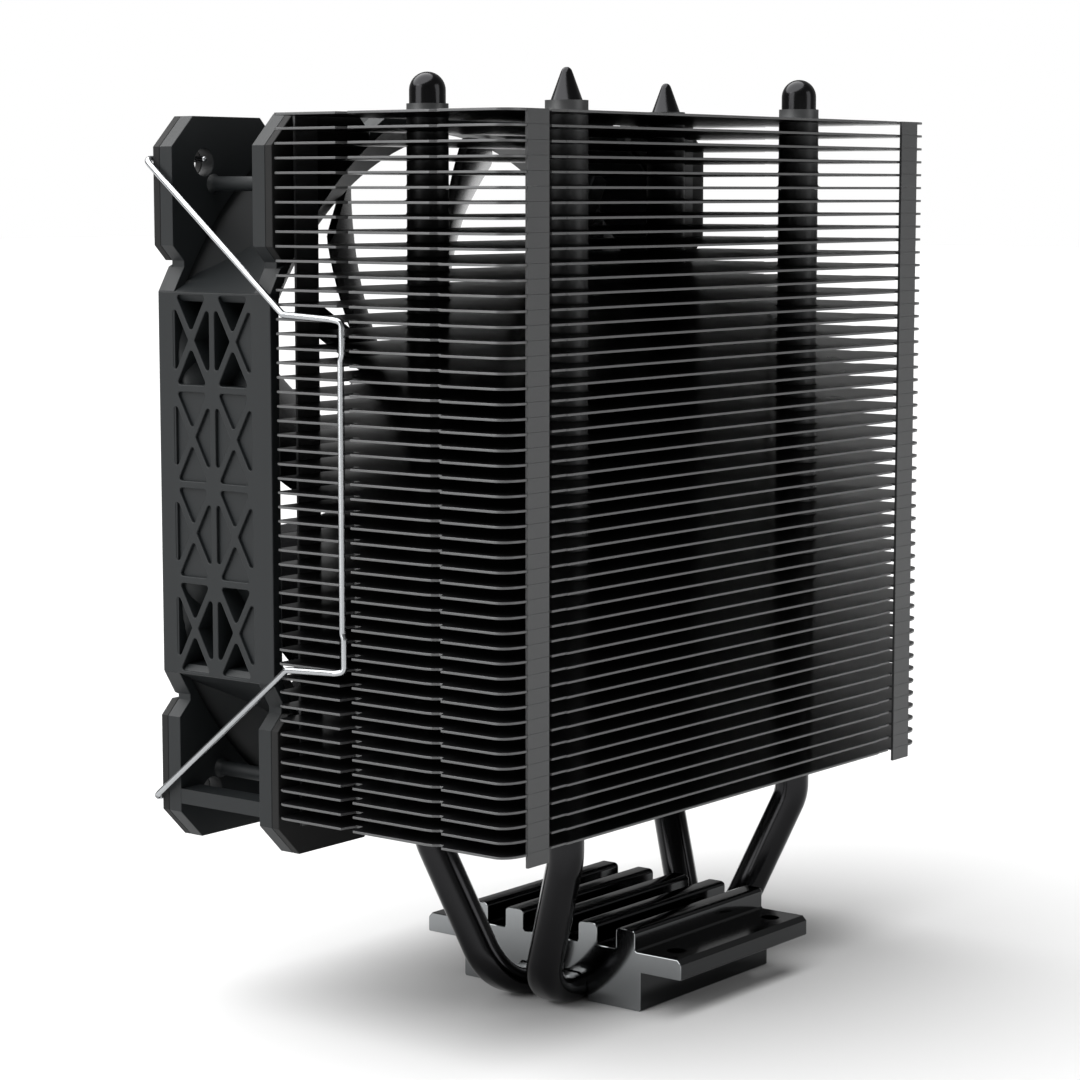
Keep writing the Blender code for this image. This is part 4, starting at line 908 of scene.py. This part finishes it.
def panel_ends(quarter):
    """The sloping ends of a panel between the flanges, each a curved face from the panel's edge to the duct."""
    fan = settings("cooler_fan")
    duct = fan.duct_radius + fan.duct_wall
    start = FAN_FRONT + fan.flange - 0.5 * MM
    end = FAN_REAR - fan.flange + 0.5 * MM
    pieces = []
    for sign in (-1, 1):
        part = np.linspace(0, 1, 12)[:, None]
        edge = np.array((PANEL_FACE, PANEL_HALF_LENGTH))
        foot = np.array((duct * math.cos(math.radians(42)), duct * math.sin(math.radians(42))))
        pull = np.array((51.0 * MM, 35.5 * MM))
        bent = (1 - part) ** 2 * edge + 2 * part * (1 - part) * pull + part**2 * foot
        inner = arc((0.0, 0.0), duct - 0.6 * MM, 42, 30, 2)
        outline = np.vstack([bent, inner, [(59.0 * MM, 30.0 * MM)]])
        outline = outline * (1, sign) + (0, FAN_CENTRE_Z)
        piece = moulded("panel_end", [outline], start, end)
        follow_mouths(piece, fan)
        turn_about_axis(piece, quarter)
        pieces.append(piece)
    return pieces


def follow_mouths(piece, fan):
    """Slants both ends of a piece to stay behind the flared mouths.

    A point's depth under the nearer face becomes what the cone still has to narrow at that point's
    distance from the axis, and at least the flange's thickness.
    """
    place = np.empty(len(piece.data.vertices) * 3)
    piece.data.vertices.foreach_get("co", place)
    place = place.reshape(-1, 3)
    radius = np.hypot(place[:, 0], place[:, 2] - FAN_CENTRE_Z)
    depth = np.maximum(fan.flare_radius + fan.duct_wall / 2 - radius, fan.flange - 0.5 * MM)
    near_front = place[:, 1] < (FAN_FRONT + FAN_REAR) / 2
    place[:, 1] = np.where(near_front, FAN_FRONT + depth, FAN_REAR - depth)
    piece.data.vertices.foreach_set("co", place.ravel())
    piece.data.update()


def duct_shell():
    """The duct as a grid round the axis: its inner face, with a flared mouth at each end, and its outer face.

    Each ring lies at one place along the axis, and its radius follows mouth_radius.
    """
    fan = settings("cooler_fan")
    depth = fan.flare_radius - fan.duct_radius
    length_all = FAN_REAR - FAN_FRONT
    inner = np.concatenate([np.linspace(0, depth, 9), np.linspace(length_all - depth, length_all, 9)])
    outer = np.clip(inner[::-1], 1.3 * MM, length_all - 1.3 * MM)
    angle = np.linspace(0, 2 * np.pi, 240, endpoint=False)
    rings = []
    for places, grow in ((inner, 0.0), (outer, fan.duct_wall)):
        place = places[:, None]
        near = np.minimum(place, length_all - place)
        radius = mouth_radius(angle[None, :], near, grow)
        x = radius * np.cos(angle)
        z = FAN_CENTRE_Z + radius * np.sin(angle)
        rings.append(np.stack([x, np.broadcast_to(FAN_FRONT + place, x.shape), z], -1))
    points = np.concatenate(rings)
    faces = quads(len(points), len(angle), wrap_rows=True, wrap_columns=True)
    return quad_mesh("duct", points.reshape(-1, 3), faces, [look("frame_plastic")], 35.0)


def bore_outline():
    """The opening through a flange: the duct's mouth at the face, a little inside its metal."""
    angle = np.linspace(0, 2 * np.pi, 240, endpoint=False)
    radius = mouth_radius(angle, 0.0) + 0.1 * MM
    return np.stack([radius * np.cos(angle), FAN_CENTRE_Z + radius * np.sin(angle)], -1)


def fan_flanges():
    """Both flanges, recessed under the pads, with the duct's bore and the screw holes through them."""
    fan = settings("cooler_fan")
    bore = bore_outline()
    half = fan.hole_spacing / 2
    hole = circle((half, half), fan.hole_radius, 32)
    holes = [mirrored(hole, sx, sz) for sx, sz in CORNERS.values()]
    outline = flange_outline() + (0, FAN_CENTRE_Z)
    pieces = []
    for place in ("front", "rear"):
        pad_low, pad_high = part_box(f"{place}_pad_upper_left")
        if place == "front":
            recess, back = pad_high.y + PAD_ROOM, FAN_FRONT + fan.flange
            rim = (FAN_FRONT, recess + 0.3 * MM)
        else:
            recess, back = pad_low.y - PAD_ROOM, FAN_REAR - fan.flange
            rim = (recess - 0.3 * MM, FAN_REAR)
        ends = sorted((recess, back))
        pieces.append(moulded("flange", [outline, bore, *holes], *ends, EDGE_ROUND))
        pieces.append(moulded("rim", [rim_outline(), bore], *rim, EDGE_ROUND))
    return pieces


def rim_outline():
    """The raised face of a flange, which the pads' recesses leave: the square with its corners cut round."""
    radius = settings("cooler_fan").pad_radius - 0.3 * MM
    low = 36.2 * MM
    first = math.degrees(math.asin(low / radius))
    curve = arc((0.0, 0.0), radius, first, 90 - first, 16)
    return quarter_turns(np.vstack([PANEL_SIDE, curve])) + (0, FAN_CENTRE_Z)


def corner_posts():
    """The round tie posts between the flanges, and the webs at the two lower corners."""
    fan = settings("cooler_fan")
    start = FAN_FRONT + fan.flange - 0.3 * MM
    end = FAN_REAR - fan.flange + 0.3 * MM
    foot = [(1.9 * MM, 0.0), (1.35 * MM, 0.7 * MM), (1.2 * MM, 1.6 * MM)]
    profile = [(radius, start + up) for radius, up in foot] + [(radius, end - up) for radius, up in reversed(foot)]
    thick = 1.25 * MM
    inner, outer = 55.4 * MM, 59.95 * MM
    web = np.array([(inner, -thick), (outer, -thick), (outer, thick), (inner, thick)])
    pieces = []
    for sx, sz in CORNERS.values():
        centre = (sx * 50.3 * MM, FAN_CENTRE_Z + sz * 49.0 * MM)
        pieces.append(turned("post", [(0.0, start), *profile, (0.0, end)], 32, centre, [look("frame_plastic")]))
        if sz < 0:
            level = FAN_CENTRE_Z - 52.3 * MM
            pieces.append(moulded("web", [web * (sx, 1) + (0, level)], start, end, 0.1 * MM))
    return pieces


def motor_carrier():
    """The struts, the round plate that holds the motor and the seat for its bearing."""
    fan = settings("cooler_fan")
    material = look("frame_plastic")
    rear = FAN_REAR - 0.2 * MM
    front = rear - 2.2 * MM
    radius = 20.0 * MM
    profile = [
        (4.2 * MM, front - 13.8 * MM), (4.2 * MM, front), (radius - 0.5 * MM, front), (radius, front + 0.5 * MM),
        (radius, rear - 0.5 * MM), (radius - 0.5 * MM, rear), (16.4 * MM, rear), (16.3 * MM, rear - 0.7 * MM),
        (2.9 * MM, rear - 0.7 * MM), (2.9 * MM, front - 13.8 * MM),
    ]
    pieces = [turned("motor_plate", profile, 96, (0.0, FAN_CENTRE_Z), [material], closed=True)]
    for number in range(4):
        angle = math.radians(30) + number * math.pi / 2
        inner, outer = radius - 0.8 * MM, fan.duct_radius + 0.4 * MM
        half = 2.0 * MM
        outline = np.array([(inner, -half), (outer, -half), (outer, half), (inner, half)])
        spin = np.array([(math.cos(angle), math.sin(angle)), (-math.sin(angle), math.cos(angle))])
        outline = outline @ spin + (0, FAN_CENTRE_Z)
        pieces.append(moulded("strut", [outline], rear - 3.0 * MM, rear - 0.2 * MM, 0.4 * MM))
    return pieces


class COOLER_OT_fan_frame(bpy.types.Operator):
    """Makes the fan's frame: duct, flanges, side panels with their lattice, corner posts and motor plate"""

    bl_idname = "cooler.fan_frame"
    bl_label = "Fan frame"

    def execute(self, context):
        pieces = [duct_shell(), *fan_flanges(), *corner_posts(), *motor_carrier()]
        for quarter in range(4):
            pieces += side_panel(quarter, quarter % 2 == 0)
            pieces += panel_ends(quarter)
        obj = joined("frame_of_fan", pieces)
        place_piece(obj, "cooler", "fan_frame", "fan_frame")
        return {"FINISHED"}


# ---------------------------------------------------------------- impeller


def blade_points(fan, number, count_out, count_along):
    """The middle surface of one blade on a grid from hub to tip and from rear edge to front edge.

    The angle round the hub leans on with the distance out, more at the rear edge than at the front one,
    and the place along Y climbs evenly from rear to front with a shallow belly between.
    """
    out = np.linspace(0, 1, count_out)[:, None]
    along = np.linspace(0, 1, count_along)[None, :]
    start = fan.hub_radius - 0.8 * MM
    radius = start + (fan.tip_radius - start) * out + 0 * along
    rear_angle = np.radians(59 + 24.5 * out)
    front_angle = np.radians(98 + 16 * out)
    angle = rear_angle + (front_angle - rear_angle) * along - 2 * np.pi * number / fan.blade_count
    rear = FAN_REAR - 4.2 * MM
    front = FAN_FRONT + 2.6 * MM
    y = rear + (front - rear) * along + 2.2 * MM * np.sin(np.pi * along) + 0 * out
    return np.stack([radius * np.cos(angle), y, FAN_CENTRE_Z + radius * np.sin(angle)], -1)


def blade(fan, number):
    """A blade with its thickness and a rounded rim: the middle surface moved both ways along its normal."""
    rows, columns = 24, 20
    middle = blade_points(fan, number, rows, columns)
    outward = np.gradient(middle, axis=0)
    onward = np.gradient(middle, axis=1)
    normal = np.cross(outward, onward)
    normal /= np.linalg.norm(normal, axis=-1)[..., None]
    part = np.linspace(0, 1, columns)
    half = 0.65 * MM * np.clip(np.minimum(part, 1 - part) / 0.06, 0.25, 1.0)[None, :, None]
    layers = np.concatenate([(middle + normal * half).reshape(-1, 3), (middle - normal * half).reshape(-1, 3)])
    count = rows * columns
    grid = quads(rows, columns)
    index = np.arange(count).reshape(rows, columns)
    rim = np.concatenate([index[:, 0], index[-1, 1:], index[-2::-1, -1], index[0, -2:0:-1]])
    after = np.roll(rim, -1)
    walls = np.stack([rim, after, after + count, rim + count], -1)
    faces = np.concatenate([grid, grid[:, ::-1] + count, walls])
    return quad_mesh("blade", layers, faces, [look("blade_plastic")], 50.0)


class COOLER_OT_impeller(bpy.types.Operator):
    """Makes the impeller: a hub cup with a softened edge, and swept blades"""

    bl_idname = "cooler.impeller"
    bl_label = "Impeller"

    def execute(self, context):
        fan = settings("cooler_fan")
        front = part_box("impeller")[0].y
        rear = FAN_REAR - 3.9 * MM
        radius = fan.hub_radius
        wall = 1.6 * MM
        round_edge = arc((radius - 2.0 * MM, front + 2.0 * MM), 2.0 * MM, 270, 360, 8)
        profile = np.vstack([
            [(0.0, front), (radius * 0.5, front)],
            round_edge,
            [(radius, rear - 0.2 * MM), (radius - 0.2 * MM, rear), (radius - wall, rear)],
            [(radius - wall, front + wall), (0.0, front + wall)],
        ])
        hub = turned("hub", profile, 96, (0.0, FAN_CENTRE_Z), [look("blade_plastic")])
        obj = joined("blades_and_hub", [hub, *[blade(fan, number) for number in range(fan.blade_count)]])
        place_piece(obj, "rotor", "impeller", "impeller")
        return {"FINISHED"}


# ---------------------------------------------------------------- wire clips


def clip_path(side):
    """The wire's middle line: hook, short arm, slope back to the fins, shoulder, grip, and the same below."""
    name = "wire_clip_left" if side > 0 else "wire_clip_right"
    radius = settings("cooler_clips").wire_radius
    low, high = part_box(name)
    outer = max(abs(low.x), abs(high.x)) - radius
    hook_x = 52.5 * MM
    front = low.y + radius
    rear = high.y - radius
    half = [
        (hook_x, front + 5.0 * MM, 53.0 * MM),
        (hook_x, front, 53.0 * MM),
        (outer, front, 53.0 * MM),
        (outer, STACK_FRONT + 2.7 * MM, 28.4 * MM),
        (outer, rear - 1.6 * MM, 27.9 * MM),
        (outer - 0.45 * MM, rear, 27.6 * MM),
        (outer - 0.45 * MM, rear, 22.3 * MM),
        (outer - 0.45 * MM, rear - 0.3 * MM, 21.6 * MM),
    ]
    upper = [(x, y, FAN_CENTRE_Z + z) for x, y, z in half]
    lower = [(x, y, FAN_CENTRE_Z - z) for x, y, z in reversed(half)]
    return [(side * x, y, z) for x, y, z in upper + lower]


class COOLER_OT_clips(bpy.types.Operator):
    """Makes the two bent spring wires that hold the fan to the fins"""

    bl_idname = "cooler.clips"
    bl_label = "Wire clips"

    def execute(self, context):
        sizes = settings("cooler_clips")
        for name, side in (("left", 1), ("right", -1)):
            path = rounded_path(clip_path(side), sizes.bend_radius, 6)
            keep = np.append(True, np.linalg.norm(np.diff(path, axis=0), axis=1) > 1e-5)
            obj = swept(f"clip_{name}", path[keep], sizes.wire_radius, 20, [look("spring_steel")])
            place_piece(obj, f"clip_{name}", "wire_clip", f"wire_clip_{name}")
        return {"FINISHED"}


# ---------------------------------------------------------------- motor


class COOLER_OT_motor(bpy.types.Operator):
    """Gives the motor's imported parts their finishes: steel, ferrite, bronze, copper and plastic"""

    bl_idname = "cooler.motor"
    bl_label = "Motor parts"

    def execute(self, context):
        finishes = {
            "rotor_yoke": "plain_steel",
            "rotor_shaft": "plain_steel",
            "shaft_retaining_ring": "plain_steel",
            "stator_core": "plain_steel",
            "ring_magnet": "ferrite",
            "bearing_sleeve": "bronze",
            "thrust_washer": "insulator",
            "stator_insulator_front": "insulator",
            "stator_insulator_rear": "insulator",
            "circuit_board": "board_mask",
            "hub_label": "label_film",
            **{f"stator_coil_{number}": "copper_wire" for number in range(1, 5)},
        }
        for name, finish in finishes.items():
            mesh = NODES[name].data
            mesh.materials.clear()
            mesh.materials.append(look(finish))
        return {"FINISHED"}


# ---------------------------------------------------------------- stage


def area_light(name, place, target, size, power):
    """A soft box that faces a target."""
    light = bpy.data.lights.new(name, "AREA")
    light.shape = "RECTANGLE"
    light.size, light.size_y = size
    light.energy = power
    obj = bpy.data.objects.new(name, light)
    obj.location = place
    obj.rotation_euler = (Vector(target) - Vector(place)).to_track_quat("-Z", "Y").to_euler()
    bpy.context.scene.collection.objects.link(obj)


def overhead_light(name, direction, strength):
    """A wide, soft light from far away, which lights the floor evenly out to the horizon."""
    light = bpy.data.lights.new(name, "SUN")
    light.energy = strength
    light.angle = math.radians(90)
    obj = bpy.data.objects.new(name, light)
    obj.rotation_euler = Vector(direction).to_track_quat("Z", "Y").to_euler()
    bpy.context.scene.collection.objects.link(obj)


class COOLER_OT_stage(bpy.types.Operator):
    """Makes the plain floor, the soft lights and the camera"""

    bl_idname = "cooler.stage"
    bl_label = "Stage"

    def execute(self, context):
        values = settings("cooler_stage")
        self.floor(values)
        self.world(context, values)
        middle = (0.0, 0.0, 80 * MM)
        area_light("side_light", (1.0, -0.35, 0.35), middle, (0.7, 0.7), values.side)
        area_light("rear_light", (-0.3, 1.15, 0.35), middle, (0.6, 0.9), values.side * 0.8)
        overhead_light("top_light", (0.25, -0.35, 1.0), values.overhead)
        self.camera(context, values)
        context.scene.view_settings.view_transform = "Standard"
        return {"FINISHED"}

    def floor(self, values):
        reach = 6.0
        points = [(-reach, -reach, 0.0), (reach, -reach, 0.0), (reach, reach, 0.0), (-reach, reach, 0.0)]
        material = bpy.data.materials.new("floor_paper")
        material.use_nodes = True
        shader = material.node_tree.nodes["Principled BSDF"]
        shader.inputs["Base Color"].default_value = (*values.floor_tone, 1.0)
        shader.inputs["Roughness"].default_value = 0.9
        obj = mesh_from("floor", points, [0, 1, 2, 3], [0], [material])

    def world(self, context, values):
        world = bpy.data.worlds.new("backdrop")
        world.use_nodes = True
        tree = world.node_tree
        seen = tree.nodes["Background"]
        seen.inputs["Color"].default_value = (1.0, 1.0, 1.0, 1.0)
        seen.inputs["Strength"].default_value = values.backdrop
        fill = tree.nodes.new("ShaderNodeBackground")
        fill.inputs["Color"].default_value = (1.0, 1.0, 1.0, 1.0)
        fill.inputs["Strength"].default_value = values.fill
        path = tree.nodes.new("ShaderNodeLightPath")
        choose = tree.nodes.new("ShaderNodeMixShader")
        tree.links.new(path.outputs["Is Camera Ray"], choose.inputs[0])
        tree.links.new(fill.outputs[0], choose.inputs[1])
        tree.links.new(seen.outputs[0], choose.inputs[2])
        tree.links.new(choose.outputs[0], tree.nodes["World Output"].inputs["Surface"])
        context.scene.world = world

    def camera(self, context, values):
        data = bpy.data.cameras.new("camera")
        data.lens = values.lens
        data.sensor_width = 36.0
        obj = bpy.data.objects.new("camera", data)
        obj.location = (400.096 * MM, 292.807 * MM, 134.843 * MM)
        obj.rotation_euler = (math.radians(90 - 6.82), 0.0, math.radians(127.753))
        context.scene.collection.objects.link(obj)
        context.scene.camera = obj


OPERATORS = [
    COOLER_OT_fins,
    COOLER_OT_pipes,
    COOLER_OT_base,
    COOLER_OT_fan_frame,
    COOLER_OT_pads,
    COOLER_OT_impeller,
    COOLER_OT_clips,
    COOLER_OT_motor,
    COOLER_OT_stage,
]


class COOLER_PT_panel(bpy.types.Panel):
    """Lists the cooler's pieces and their sizes"""

    bl_idname = "COOLER_PT_panel"
    bl_label = "CPU Tower Cooler"
    bl_space_type = "VIEW_3D"
    bl_region_type = "UI"
    bl_category = "Cooler"

    def draw(self, context):
        for operator in OPERATORS:
            self.layout.operator(operator.bl_idname)
        for group, kind in GROUPS.items():
            box = self.layout.box()
            box.label(text=kind.__name__)
            for name in kind.__annotations__:
                box.prop(getattr(context.scene, group), name)


def register():
    for kind in (*GROUPS.values(), *OPERATORS, COOLER_PT_panel):
        bpy.utils.register_class(kind)
    for group, kind in GROUPS.items():
        setattr(bpy.types.Scene, group, PointerProperty(type=kind))


def unregister():
    for group in GROUPS:
        delattr(bpy.types.Scene, group)
    for kind in (COOLER_PT_panel, *reversed(OPERATORS), *GROUPS.values()):
        bpy.utils.unregister_class(kind)


def main():
    register()
    for operator in OPERATORS:
        group, name = operator.bl_idname.split(".")
        getattr(getattr(bpy.ops, group), name)()


if __name__ == "__main__":
    main()
